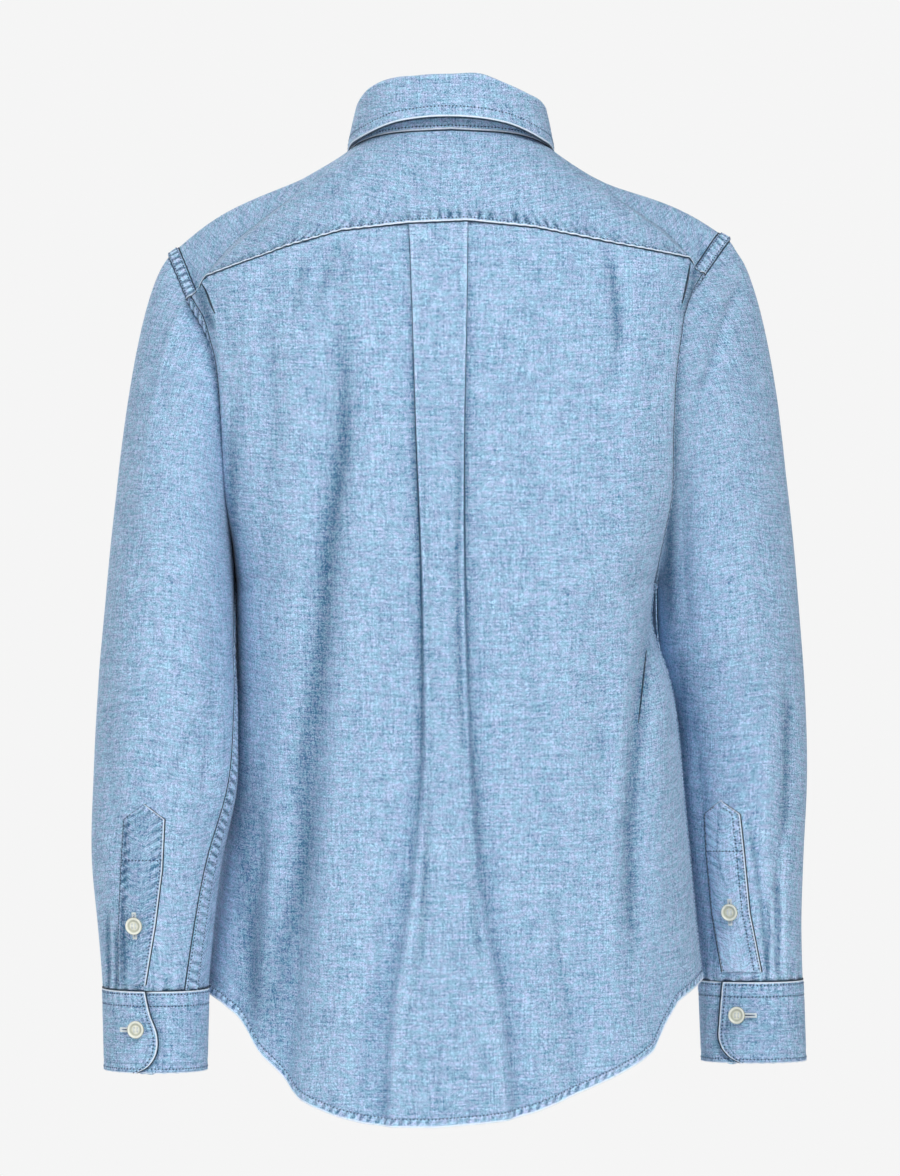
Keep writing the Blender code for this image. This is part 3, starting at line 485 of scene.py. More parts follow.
# The puckers beside the seams: height, pitch, and how far from the seam they reach.
PUCKERS = (0.42, 6.4, 7.0)
PUCKER_SHIFT = 40  # how far on the puckers of a net's next seam start
PLACKET_PUCKERS = (0.22, 7.3, 3.5)
COLLAR_PUCKERS = (0.3, 6.3, 4.5)
BAND_PUCKERS = (0.16, 6.9)
CAP_PUCKERS = (0.32, 6.4, 7.0)
WRIST_PUCKERS = (0.4, 8.6, 11.0)
SLEEVE_PLACKET_PUCKERS = (0.34, 5.4, 3.2)
PUCKER_LINES = {"placket": 4.5, "collar": 6.5, "sleeve_placket": 2.6}  # how far in they are highest
CUFF_TOP_PUCKERS = (1.0, 5.2, 7.0)
CUFF_FOOT_PUCKERS = (0.7, 6.8, 6.0)
CUFF_RELIEF = 0.3
GUTTER = 0.9  # half width of the furrow that a row of stitches pulls into a cuff

# The sewing: how far in from its edge each strip starts and ends, and how far it stands up.
FELL = (0.3, 7.4, 0.7)
BACK_FELL_ENDS = {  # drop, where the back's strip ends, which the roll beside it hides further down
    "first": ((73, 7.5), (80, 5.5), (90, 2.2), (120, 2.2)),
    "last": ((88, 10.5), (99, 10.8), (107, 7.4), (114, 3.4), (122, 2.2)),
}
FELL_CLEAR = 0.9
SIDE_FELL = (0.2, 6.8, 0.6)
SLEEVE_FELL = {"left": (0.2, 10.5, 0.8), "right": (0.2, 7.2, 0.7)}
HEM = (0.0, 5.6, 0.7)
# The rungs' tone is painted light and shade on the puckers, with their worn ridges.
RUNGS = (5.4, 0.3, 0.42, 1.15)  # pitch, slant, height and tone of the puckers across a strip
EDGE_ROLL = 1.1
EDGE_RISE = 0.35
# Painted shade in the hollows of the puckers above the yoke's back seam, with some unfaded dye:
DASHES = (6.2, 2.4, 14.0, 2.6)  # pitch, start and end above the seam, tone
ALONG_STEP = 1.25

# How far in from its edge each row of stitches runs.
HEM_ROW = 0.9
YOKE_ROWS_SEWN = (2.1, 2.0)
BAND_ROW = 2.2
PLACKET_ROW = 5.2
COLLAR_ROW = 6.6
CUFF_ROWS_SEWN = (1.9, 9.0)
CUFF_FOOT_ROW = 5.4
CUFF_END_ROW = 2.4

# Painted shadow: the dark lines beside the seams, where shade falls under folded edges, with some unfaded
# dye.
CREVICES = {  # how far in from the edge each dark line starts and ends, and how far it stands up
    "yoke": (-0.8, -0.1, -0.45),
    "neck": (0.3, 1.2, 0.3),
    "collar": (-1.1, -0.1, -0.4),
    "placket": (-1.0, -0.1, 0.3),
    "cuff": (-0.9, -0.1, 0.3),
    "sleeve_placket": (-0.9, -0.1, 0.4),
    "armhole": (-0.9, 0.1, -0.1),
}
STRIP_WALL = 0.5
CREVICE_WALL = 0.3
HEM_TONE = 0.4  # how strong the hem's rungs are, where the other seams' are 1

# The threads, each a ball with this many faces round it and from end to end.
STITCH_FACES = (5, 2)
HOLE_FACES = (6, 2)
KNOT_FACES = (6, 5)
BAR_FACES = (5, 4)
STITCH_LIFT = 0.12
HOLE_DEPTH = 0.5
# Length, width and height.
BUTTON_THREAD = (3.6, 0.75, 0.7)
BAR_THREAD = (1.5, 0.62, 0.9)
SLOT_SIZE = (12.6, 0.9, 0.7)
BAR_STEP = 0.62
BAR_OFFSET = 0.85
SLOT_SINK = 1.0

BUTTONHOLES = (  # button, shift along the hole, length, upright
    ("cuff_button_left", 3.0, 12.5, False),
    ("cuff_button_right", -5.0, 12.5, False),
    ("sleeve_button_left", 0.0, 14.0, True),
    ("sleeve_button_right", 0.0, 14.0, True),
    *((f"front_button_{number}", 0.0, 13.0, True) for number in range(1, 7)),
    ("collar_button", 2.0, 13.0, False),
)
BUTTON_PROFILE = (  # shares of the radius and of the height
    (0.0, 0.55), (0.42, 0.55), (0.5, 0.5), (0.6, 0.52), (0.7, 0.78), (0.78, 0.95), (0.86, 1.0),
    (0.93, 0.94), (0.985, 0.78), (1.0, 0.6), (0.97, 0.4), (0.8, 0.08), (0.7, 0.0), (0.0, 0.0),
)
# Painted light on the buttons' rims and painted shade in their dishes and under their rims:
BUTTON_RINGS = (  # share of the radius, how pale
    (0.0, 0.62), (0.42, 0.5), (0.5, 0.2), (0.6, 0.0), (0.7, 0.3), (0.8, 0.75), (0.93, 0.5), (1.0, -0.2),
)
BUTTON_HOLE = 0.6
BUTTON_HOLE_SIDES = 14
BUTTON_HOLE_OFFSET = 1.5
BUTTON_SHARP_ANGLE = math.radians(35)

# The looks.
THREAD = 0.0005
WARP_SLUB = 0.0105
WEFT_SLUB = 0.0105
HUE_PATCH = (0.0060, 0.0030, 1.0)
PATCH_HUE = 2.6
FLECK_HUE = 0.7
HUE_LEVEL = 1.15
WEAVE_TONE = 0.5
WEAVE_EVEN = 0.25
FLECK_TONE = 0.9
WARP_TONE = 0.5
WEFT_TONE = 0.56
# The wear_and_shade tones: pale on worn ridges, painted shade in troughs and shaded places.
WEAR_AND_SHADE_TONE = 0.34
PAINTED_SHADE_STRENGTH = 0.17
WEAR_AND_SHADE_GAIN = 4.0
WEAR_AND_SHADE_LEVEL = 0.012
# The needle holes and the buttonhole slots are dark beads of painted shadow.
NEEDLE_HOLE_COLOURS = (0.012, 0.035, 0.08, 1.0), (0.03, 0.07, 0.14, 1.0)
SLOT_COLOURS = (0.02, 0.04, 0.09, 1.0), (0.04, 0.07, 0.14, 1.0)

# The stage, in metres.
MIDDLE = (0.0006, 0.0, -0.2598)
FLOOR_RADIUS = 5.0
FLOOR_HEIGHT = -1.0
FLOOR_COLOUR = (0.86, 0.86, 0.86, 1.0)
BACKDROP_RADIUS = 19.0
BACKDROP_COLOUR = (0.914, 0.914, 0.914, 1.0)
AMBIENT_COLOUR = (0.88, 0.95, 1.0, 1.0)
KEY_PLACE = (-1.15, 2.75, 1.9)
FILL_PLACE = (1.7, 2.9, 0.8)
FRONT_FILL_PLACE = (1.6, -3.0, 1.2)
KEY_SIZE = 1.6
FILL_SIZE = 3.0
SENSOR_WIDTH = 36.0
LENS_REACH = 40.0


# Forms


def curve(rows, column, at):
    """The value in a column at a key of the first column, on a smooth line through the rows."""
    keys = np.array([row[0] for row in rows], float)
    values = np.array([row[column] for row in rows], float)
    slopes = np.gradient(values, keys)
    place = np.clip(np.searchsorted(keys, at) - 1, 0, len(keys) - 2)
    span = keys[place + 1] - keys[place]
    t = np.clip((at - keys[place]) / span, 0.0, 1.0)
    start = (1 + 2 * t) * (1 - t) ** 2 * values[place] + t * (1 - t) ** 2 * span * slopes[place]
    end = t * t * (3 - 2 * t) * values[place + 1] - t * t * (1 - t) * span * slopes[place + 1]
    return start + end


def line(rows, column, at):
    """The value in a column at a key, straight between the rows."""
    return np.interp(at, [row[0] for row in rows], [row[column] for row in rows])


def ease(start, end, at):
    """A soft step from 0 at the start to 1 at the end."""
    t = np.clip((at - start) / (end - start), 0.0, 1.0)
    return t * t * (3 - 2 * t)


def mix(first, second, share):
    return first + (second - first) * share


def points(x, y, z):
    return np.stack(np.broadcast_arrays(x, y, z), axis=-1).astype(float)


def unit(vectors):
    return vectors / np.maximum(np.linalg.norm(vectors, axis=-1, keepdims=True), 1e-9)


def lengths(path):
    """How far along a path of points each one lies; the last axis holds the coordinates."""
    steps = np.linalg.norm(np.diff(path[..., :3], axis=-2), axis=-1)
    return np.concatenate([np.zeros_like(steps[..., :1]), np.cumsum(steps, axis=-1)], axis=-1)


def folds(table, x, drop):
    """How far a table's large folds lift the cloth at x and this drop."""
    lift = 0.0
    for *numbers, width in table:
        middle = np.interp(drop, FOLD_DROPS, numbers[:3])
        depth = np.interp(drop, FOLD_DROPS, numbers[3:])
        lift = lift + depth * bell(x - middle, width)
    return lift


def creases(table, x, drop):
    """How far a table's creases lift the cloth: each is sharper than a fold and fades at its ends."""
    lift = np.zeros(np.broadcast(x, drop).shape)
    for path, depth, width in table:
        rows = [(down, across) for across, down in path]
        first, last = rows[0][0], rows[-1][0]
        fade = CREASE_FADE * (last - first)
        middle = curve(rows, 1, drop)
        slope = (curve(rows, 1, drop + 1) - curve(rows, 1, drop - 1)) / 2
        away = np.abs(x - middle) / np.sqrt(1 + slope**2) / width
        ends = ease(first, first + fade, drop) * (1 - ease(last - fade, last, drop))
        lift += depth * ends * np.exp(-(away**CREASE_POWER))
    return lift


def waver(along, pitch):
    """An uneven wave from -1 to 1 along a seam, as sewing draws the cloth up."""
    drift = 1.3 * np.sin(along / (2.9 * pitch)) + 0.8 * np.sin(along / (1.3 * pitch) + 1.1)
    strength = 0.65 + 0.35 * np.sin(along / (3.7 * pitch) + 0.6 * np.sin(along / (1.9 * pitch)))
    return strength * np.sin(math.tau * along / pitch + drift)


def ripples(along, away, height, pitch, reach):
    """How far a seam's puckers lift the cloth along it and away from it."""
    return height * waver(along, pitch) * np.exp(-away / reach)


def bell(away, width):
    return np.exp(-((away / width) ** 2))


def with_normals(net, outward=None, tube=False):
    """The net's points and its normals, turned the way given or else away from its middle: (..., 6)."""
    across = np.gradient(net, axis=0)
    down = np.gradient(net, axis=1)
    if tube:
        across[0] = across[-1] = (net[1] - net[-2]) / 2
    normals = unit(np.cross(across, down))
    away = net - net.mean(axis=(0, 1)) if outward is None else np.array(outward, float)
    side = 1.0 if (normals * away).sum() > 0 else -1.0
    return np.concatenate([net, normals * side], axis=-1)


def measures(net, edge):
    """How far each point of a net lies along one of its edges, and how far in from it."""
    down = lengths(net)
    across = lengths(net.swapaxes(0, 1)).T
    return {
        "top": (across[:, :1], down),
        "bottom": (across[:, -1:], down[:, -1:] - down),
        "first": (down[:1], across),
        "last": (down[-1:], across[-1:] - across),
    }[edge]


def drawn_up(net, *edges):
    """The net with its cloth drawn up into small uneven ripples along the seams at these edges."""
    lift = 0.0
    for number, edge in enumerate(edges):
        along, inward = measures(net, edge)
        lift = lift + ripples(along + PUCKER_SHIFT * number, inward, *PUCKERS)
    return raised(net, lift)


def raised(net, lift):
    """The net moved out along its normals."""
    net = net.copy()
    net[..., :3] += net[..., 3:] * np.broadcast_to(lift, net.shape[:-1])[..., None]
    return net


# The body's forms

ARMHOLES = {
    (True, True): ARMHOLE_BACK_LEFT,
    (True, False): ARMHOLE_BACK_RIGHT,
    (False, True): ARMHOLE_FRONT_LEFT,
    (False, False): ARMHOLE_FRONT_RIGHT,
}


def angle_of(share, edge_drop):
    """The angle from the middle at which an oval row reaches this share of its half width."""
    sine = np.minimum(np.abs(share), 1.0) ** (curve(ROUNDNESS, 1, edge_drop) / 2)
    return np.sign(share) * np.arcsin(sine)


def width_share(angle, edge_drop):
    return np.sign(angle) * np.abs(np.sin(angle)) ** (2 / curve(ROUNDNESS, 1, edge_drop))


def depth_share(angle, edge_drop):
    return np.maximum(np.cos(angle), 0.0) ** (2 / curve(ROUNDNESS, 1, edge_drop))


def side_edge(back, left, drop):
    """x and y of the body's edge: the armhole above the underarm, the side seam below it."""
    below = drop >= UNDERARM_DROP
    x = np.where(below, curve(SIDE_SEAM, 1 if left else 2, drop), curve(ARMHOLES[back, left], 1, drop))
    y = np.where(below, 0.0, curve(ARMHOLES[back, left], 2, drop))
    return x, y


def body_point(back, angle, drop, edge_drop, lift):
    """Points of the body's oval rows at these angles from their middle, moved outwards by lift."""
    left_x, left_y = side_edge(back, True, edge_drop)
    right_x, right_y = side_edge(back, False, edge_drop)
    edge_x = np.where(angle >= 0, left_x, -right_x)
    edge_y = np.where(angle >= 0, left_y, right_y)
    middle_y = curve(BODY_DEPTH, 1 if back else 2, drop)
    x = edge_x * width_share(angle, edge_drop)
    y = edge_y + (middle_y - edge_y) * depth_share(angle, edge_drop)
    outward = unit(points(np.sin(angle) / edge_x, np.cos(angle) / (middle_y - edge_y), 0.0))
    return points(x, y, -drop) + outward * lift(x, drop)[..., None]


def row_share(top_edge, low_edge, row):
    """How far down a body panel a row lies: even steps in the armhole, then even steps below it."""
    underarm = (UNDERARM_DROP - top_edge) / (low_edge - top_edge)
    return np.interp(row, (0, ARMHOLE_PART, ARMHOLE_PART + BODY_PART), (0, underarm, 1))


def body_rows():
    """The rows of a body panel, with a few more of them just under its top seam."""
    upper = np.linspace(0, ARMHOLE_PART, ARMHOLE_ROWS + 1)
    lower = np.linspace(ARMHOLE_PART, ARMHOLE_PART + BODY_PART, BODY_ROWS + 1)
    return np.concatenate([SEAM_ROWS, upper[1:], lower[1:]])


def pleat_lift(x, drop):
    """The box pleat: a raised panel whose folded edges drop into a soft groove on each side."""
    left, right, groove, step = (curve(PLEAT, column, drop) for column in (1, 2, 3, 4))
    outside = np.maximum(x - left, right - x)
    down = ease(0, 1, outside / step)
    return PLEAT_RISE * (1 - down) - down * groove * bell(np.maximum(outside - step, 0), GROOVE_WIDTH)


def pleat_tone():
    """Painted shade on the back; pale worn pleat edges with painted shade in the steps beside, fading
    lower.
    """
    net = back_net()
    tone = creases(BACK_SHADES, net[..., 0], -net[..., 2])
    crisp = 1 - ease(CRISP_DROPS[0], CRISP_DROPS[1], -net[..., 2])
    right = BACK_PANEL_COLUMNS + BACK_STEP_COLUMNS
    left = right + BACK_PLEAT_COLUMNS
    tone[[right, left]] += (PLEAT_PALE * crisp)[[right, left]]
    steps = [right - 2, right - 3, left + 2, left + 3]
    tone[steps] -= (PLEAT_DARK * crisp)[steps]
    return tone


def back_lift(x, drop):
    lift = pleat_lift(x, drop) + folds(BACK_FOLDS, x, drop)
    return lift + creases(BACK_CREASES, x, drop) + creases(ARMHOLE_ROLLS, x, drop)


def spread(start, share):
    """The width share of a column this far on from the start to the side, closer together there."""
    turn = np.arcsin(start)
    return np.sin(turn + (math.pi / 2 - turn) * share)


def back_angle(column, drop, edge_drop):
    """Columns run from 0 at the right side to 5 at the left: panel, pleat's step, pleat, step, panel."""
    left, right, step = (curve(PLEAT, number, drop) for number in (1, 2, 4))
    left_width = side_edge(True, True, edge_drop)[0]
    right_width = -side_edge(True, False, edge_drop)[0]
    x = right - step + step * np.clip(column - 1, 0, 1)
    x = x + (left - right) * np.clip(column - 2, 0, 1) + step * np.clip(column - 3, 0, 1)
    middle = angle_of(x / np.where(x > 0, left_width, right_width), edge_drop)
    on_right = -angle_of(spread((step - right) / right_width, np.clip(1 - column, 0, 1)), edge_drop)
    on_left = angle_of(spread((left + step) / left_width, np.clip(column - 4, 0, 1)), edge_drop)
    return np.where(column < 1, on_right, np.where(column > 4, on_left, middle))


@functools.cache
def back_net():
    parts = [
        np.linspace(0, 1, BACK_PANEL_COLUMNS + 1),
        np.linspace(1, 2, BACK_STEP_COLUMNS + 1)[1:],
        np.linspace(2, 3, BACK_PLEAT_COLUMNS + 1)[1:],
        np.linspace(3, 4, BACK_STEP_COLUMNS + 1)[1:],
        np.linspace(4, 5, BACK_PANEL_COLUMNS + 1)[1:],
    ]
    column = np.concatenate(parts)[:, None]
    across = np.linspace(0, 1, len(column))[:, None]
    (right_x, right_top), (left_x, left_top) = BACK_YOKE_SEAM[0], BACK_YOKE_SEAM[-1]
    (right_hem_x, right_hem), (left_hem_x, left_hem) = BACK_HEM[0], BACK_HEM[-1]
    row = body_rows()[None, :]
    share = mix(row_share(right_top, right_hem, row), row_share(left_top, left_hem, row), across)
    to_left = ease(2, 3, column)
    top_edge = mix(right_top, left_top, to_left)
    edge_drop = top_edge + (mix(right_hem, left_hem, to_left) - top_edge) * share
    drop = edge_drop
    for _ in range(4):
        angle = back_angle(column, drop, edge_drop)
        width = width_share(angle, edge_drop)
        top = line(BACK_YOKE_SEAM, 1, width * mix(-right_x, left_x, to_left))
        drop = top + (line(BACK_HEM, 1, width * mix(-right_hem_x, left_hem_x, to_left)) - top) * share
    net = body_point(True, angle, drop, edge_drop, back_lift)
    return drawn_up(with_normals(net), "top", "first", "last")


# The yoke's forms


def neck_point(angle):
    """A point of the neck seam at an angle in degrees from the middle of the back, left being positive."""
    turn = np.radians(angle)
    folded = np.abs((angle + 180) % 360 - 180)
    height = curve(NECK_HEIGHT, 1, folded)
    return points(NECK_HALF_WIDTH * np.sin(turn), NECK_HALF_DEPTH * np.cos(turn), height)


def armhole_top(left, share):
    """A point of the armhole over the shoulder, from the front corner at 0 to the back corner at 1."""
    table = ARMHOLE_TOP_LEFT if left else ARMHOLE_TOP_RIGHT
    return points(*(curve(table, column, share) for column in (1, 2, 3)))


def back_seam_point(x):
    """A point of the yoke's back seam, over the pleat."""
    drop = line(BACK_YOKE_SEAM, 1, x)
    (right_x, right_drop), (left_x, left_drop) = BACK_YOKE_SEAM[0], BACK_YOKE_SEAM[-1]
    edge_x = np.where(x >= 0, left_x, -right_x)
    edge_drop = np.where(x >= 0, left_drop, right_drop)
    over_pleat = ease(*YOKE_OVER_PLEAT[:2], x) * (1 - ease(*YOKE_OVER_PLEAT[2:], x))

    def lift(x, drop):
        return folds(BACK_FOLDS, x, drop) + PLEAT_RISE * over_pleat

    return body_point(True, angle_of(x / edge_x, edge_drop), drop, edge_drop, lift)


def yoke_point(angle, outer, share):
    """Points of the yoke on rays from the neck seam at these angles to these outer ends."""
    rise = curve(YOKE_RISE, 1, angle) * np.sin(math.pi * share)
    rise = rise - curve(YOKE_RISE, 2, angle) * np.sin(math.tau * share)
    found = mix(neck_point(angle), outer, share[..., None])
    slope = unit(found * (YOKE_SLOPE[0], YOKE_SLOPE[1], 0.0) + (0.0, 0.0, YOKE_SLOPE[2]))
    return found + slope * rise[..., None]


@functools.cache
def yoke_net():
    over = np.linspace(0, 1, YOKE_SHOULDER_COLUMNS + 1)
    turn = np.linspace(-1, 1, YOKE_BACK_COLUMNS + 1)
    corner = np.where(turn > 0, BACK_YOKE_SEAM[-1][0], -BACK_YOKE_SEAM[0][0])
    at_side = YOKE_AT_NECK + (YOKE_CORNER_AT_NECK - YOKE_AT_NECK) * over
    angle = np.concatenate([-at_side, YOKE_CORNER_AT_NECK * turn[1:-1], at_side[::-1]])
    seam = back_seam_point(corner * np.sin(math.pi / 2 * turn))[1:-1]
    outer = np.concatenate([armhole_top(False, over), seam, armhole_top(True, over[::-1])])
    fine_end = 1 - np.array(YOKE_FINE_ROWS)
    share = np.concatenate([np.linspace(0, 1, YOKE_ROWS + 1)[:-1], fine_end, [1.0]])
    net = yoke_point(angle[:, None], outer[:, None], np.broadcast_to(share, (len(angle), len(share))))
    net = drawn_up(with_normals(net), "bottom", "first", "last")
    on_back = ease(-0.2, 0.3, net[:, :1, 1] / NECK_HALF_DEPTH)
    edge = ease(LAP_RAMP, 0, lengths(net)[:, -1:] - lengths(net)) * LAP_RISE
    return raised(net, edge + creases(YOKE_CREASES, net[..., 0], -net[..., 2]) * on_back)


def yoke_tone():
    """Darker dashes above the yoke's back seam: painted shade in its puckers' hollows, with unfaded dye.
    """
    pitch, start, end, tone = DASHES
    away = measures(yoke_net(), "bottom")[1]
    along = yoke_net()[..., 0] + 200
    reach = start + (end - start) * (0.6 + 0.4 * waver(along + 31, 2.7 * pitch))
    dashes = ease(0.0, 0.5, waver(along, pitch)) * (0.7 + 0.3 * waver(along + 17, 3.1 * pitch))
    return -tone * dashes * ease(start - 1.0, start, away) * (1 - ease(0.45 * reach, reach, away))


# The fronts' forms


def opening_edge(left):
    """How far a front runs past the middle."""
    return PLACKET_HALF_WIDTH if left else UNDERLAP_EDGE


def front_top(left, column):
    """The top edge of a front: the neck seam from the opening, then the yoke's seam to the armhole."""
    side = 1 if left else -1
    start = 180 + math.degrees(math.asin(opening_edge(left) / NECK_HALF_WIDTH))
    at_neck = neck_point(side * (start + (YOKE_AT_NECK - start) * np.clip(column / NECK_PART, 0, 1)))
    share = np.clip((column - NECK_PART) / SEAM_PART, 0, 1)
    angle = np.full(column.shape, side * YOKE_AT_NECK)
    at_yoke = yoke_point(angle, armhole_top(left, 0.0), share)
    return np.where((column <= NECK_PART)[..., None], at_neck, at_yoke)


def front_x(top_x, top_edge, edge):
    """How a front's column runs: straight down by the opening, and with the side at the side."""
    share = np.minimum(np.abs(top_x) / top_edge, 1.0) ** 3
    return top_x + np.sign(top_x) * (edge - top_edge) * share


def front_lift(x, drop):
    return folds(FRONT_FOLDS, x, drop) + creases(FRONT_CREASES, x, drop)


@functools.cache
def front_net(left):
    at_neck = np.linspace(0, NECK_PART, FRONT_NECK_COLUMNS + 1)
    at_seam = np.linspace(NECK_PART, NECK_PART + SEAM_PART, FRONT_SEAM_COLUMNS + 1)
    top = front_top(left, np.concatenate([at_neck, at_seam[1:]]))[:, None]
    seam_drop = ARMHOLES[False, left][0][0]
    hem_x, hem_drop = FRONT_HEM[-1 if left else 0]
    share = row_share(seam_drop, hem_drop, body_rows())[None, :]
    edge_drop = seam_drop + (hem_drop - seam_drop) * share
    top_edge = np.abs(side_edge(False, left, seam_drop)[0])
    top_angle = angle_of(top[..., 0] / top_edge, seam_drop)
    top_angle[-1] = math.pi / 2 if left else -math.pi / 2
    hem = line(FRONT_HEM, 1, front_x(top[..., 0], top_edge, abs(hem_x)))
    drop = -top[..., 2] + (hem + top[..., 2]) * share
    edge = np.abs(side_edge(False, left, edge_drop)[0])
    angle = angle_of(front_x(top[..., 0], top_edge, edge) / edge, edge_drop)
    net = body_point(False, angle, drop, edge_drop, front_lift)
    at_top = body_point(False, top_angle, -top[..., 2], np.full(top_angle.shape, seam_drop), front_lift)
    fade = (1 - ease(0, FRONT_BLEND, share)) ** 1.5
    net = net + (top - at_top) * fade[..., None]
    if not left:
        net[..., 1] += UNDERLAP_DEPTH * ease(UNDERLAP_RAMP[0], UNDERLAP_RAMP[1], net[..., 0])
    return drawn_up(with_normals(net), "top", "last")


@functools.cache
def placket_net():
    """The placket strip lies on the left front's edge, moved out."""
    front = front_net(True)[: FRONT_NECK_COLUMNS + 1]
    x = np.linspace(-PLACKET_HALF_WIDTH, PLACKET_HALF_WIDTH, PLACKET_COLUMNS + 1)
    rows = [[np.interp(x, row[:, 0], row[:, axis]) for axis in range(3)] for row in front.swapaxes(0, 1)]
    net = np.array(rows).transpose(2, 0, 1)
    net[..., 0] = x[:, None]
    rim = np.minimum(x + PLACKET_HALF_WIDTH, PLACKET_HALF_WIDTH - x)
    net = with_normals(net, (0, -1, 0))
    lift = PLACKET_LIFT * ease(-0.6, 1.2, rim)[:, None]
    away = np.abs(rim[:, None] - PUCKER_LINES["placket"])
    return raised(net, lift + ripples(lengths(net), away, *PLACKET_PUCKERS))


# The collar's forms


def around(table, angle):
    """A point of the collar's table at an angle from the middle of the back, left being positive."""
    right = [(-away, -x, y, right_z) for away, x, y, _, right_z in table[:0:-1]]
    rows = right + [(away, x, y, left_z) for away, x, y, left_z, _ in table]
    return points(*(curve(rows, column, angle) for column in (1, 2, 3)))


def level(vectors):
    """The vectors turned level and made 1 long."""
    return unit(vectors * (1.0, 1.0, 0.0))


@functools.cache
def collar_net():
    angle = COLLAR_ENDS * np.linspace(-1, 1, COLLAR_COLUMNS + 1)[:, None]
    fold = around(COLLAR_FOLD, angle)
    edge = around(COLLAR_EDGE, angle)
    out = level(fold)
    turn = np.linspace(0, 1, ROLL_ROWS + 1)[None, :, None]
    fall = ROLL_FALL[0] - ROLL_FALL[1] * turn + ROLL_FALL[1] * np.sin(math.pi * turn)
    roll = fold - out * ROLL * np.cos(math.pi * turn) + np.array((0, 0, 1.0)) * fall
    share = np.linspace(0, 1, LEAF_ROWS + 1)[None, 1:, None]
    leaf = mix(roll[:, -1:], edge, share) + out * LEAF_BULGE * np.sin(math.pi * share)
    net = with_normals(np.concatenate([roll, leaf], axis=1))
    on_back = ease(0, 20, net[..., 1])
    lift = creases(COLLAR_CREASES, net[..., 0], CREASES_LOWER - net[..., 2]) * on_back
    to_edge = lengths(net)[:, -1:] - lengths(net)
    along = lengths(net[:, -1])[:, None]
    height, pitch, reach = COLLAR_PUCKERS
    away = to_edge - PUCKER_LINES["collar"]
    return raised(net, lift + height * waver(along, pitch) * bell(away, reach))


@functools.cache
def band_net():
    """The band stands on the neck seam; its left end laps over its right one at the front."""
    angle = (180 + BAND_OVERLAP / 2) * np.linspace(-1, 1, BAND_COLUMNS + 1)[:, None]
    folded = (angle + 180) % 360 - 180
    fold = around(COLLAR_FOLD, folded)
    out = level(fold)
    low = neck_point(folded) + (0, 0, 0.3)
    top = fold - out * ROLL - np.array((0, 0, BAND_TOP_GAP))
    under = UNDERLAP_DEPTH * ease(180 - BAND_OVERLAP * 1.6, 180 - BAND_OVERLAP * 0.6, -angle)
    share = np.linspace(0, 1, BAND_ROWS + 1)[None, :, None]
    net = with_normals(mix(top, low, share) - out * under[..., None])
    height, pitch = BAND_PUCKERS
    return raised(net, height * waver(lengths(net[:, -1])[:, None], pitch) * share[..., 0])


# The sleeves' forms


def armhole_point(left, step):
    """A point of the armhole loop, from the underarm up the back, over the shoulder and down the front."""
    count = np.minimum(np.minimum(step, SLEEVE_PART - step), ARMHOLE_PART)
    found = []
    for back in (True, False):
        drop = UNDERARM_DROP + (ARMHOLES[back, left][0][0] - UNDERARM_DROP) * count / ARMHOLE_PART
        found.append(points(*side_edge(back, left, drop - 1e-6), -drop))
    over = armhole_top(left, np.clip(1 - (step - ARMHOLE_PART) / SHOULDER_PART, 0, 1))
    on_back = (step <= ARMHOLE_PART)[..., None]
    on_front = (step >= SLEEVE_PART - ARMHOLE_PART)[..., None]
    return np.where(on_back, found[0], np.where(on_front, found[1], over))


def sleeve_round(left, drop, angle):
    """A point of the sleeve's round at this drop: 0 is out from the body and 90 degrees is the back."""
    table = SLEEVE_LEFT if left else SLEEVE_RIGHT
    inner, outer, middle, depth = (curve(table, column, drop) for column in (1, 2, 3, 4))
    turn = np.radians(angle)
    x = (inner + outer) / 2 + (outer - inner) / 2 * np.cos(turn)
    tilt = curve(SLEEVE_TILT, 1, drop) * np.cos(turn)
    return points(x, middle + depth * np.sin(turn), -drop + tilt)


@functools.cache
def sleeve_net(left):
    table = SLEEVE_LEFT if left else SLEEVE_RIGHT
    step = np.linspace(0, SLEEVE_PART, SLEEVE_COLUMNS + 1)[:, None]
    angle = 180 - 360 * step / SLEEVE_PART
    share = np.linspace(0, 1, CAP_ROWS + 1)[None, :]
    side = "left" if left else "right"
    start = armhole_point(left, step)
    end = sleeve_round(left, np.full(angle.shape, float(table[0][0])), angle)
    shoulder = start + (end - start) * np.array(CAP_SHARES[side])
    start = start + unit(shoulder - start) * CAP_START
    share = share[..., None]
    cap = start * (1 - share) ** 2 + shoulder * 2 * share * (1 - share) + end * share**2
    drop = np.linspace(table[0][0], table[-1][0], SLEEVE_ROWS + 1)[None, 1:]
    turned = angle - curve(SLEEVE_TWIST[side], 1, drop)
    tube = sleeve_round(left, np.broadcast_to(drop, turned.shape), turned)
    tube[..., 2] -= CUFF_DIP[side] * np.sin(np.radians(turned)) * ease(CUFF_DIP_STARTS, table[-1][0], drop)
    net = with_normals(np.concatenate([cap, tube], axis=1), tube=True)
    x, drop = net[..., 0], -net[..., 2]
    shown = creases(SLEEVE_CREASES[side], x, drop)
    depth, wider, across, lower = HIDDEN_CREASES
    hidden = depth * creases(SLEEVE_CREASES[side], x * wider + across, drop + lower)
    turned = np.concatenate([np.broadcast_to(angle, cap.shape[:2]), turned], axis=1)
    back = ease(-0.25, 0.25, np.sin(np.radians(turned)))
    lift = shown * back + hidden * (1 - back)
    down = lengths(net)
    lift = lift + ripples(lengths(net[:, 0])[:, None], down, *CAP_PUCKERS)
    lift = lift + ripples(lengths(net[:, -1])[:, None], down[:, -1:] - down, *WRIST_PUCKERS)
    net = raised(net, lift)
    net[-1] = net[0]
    return net


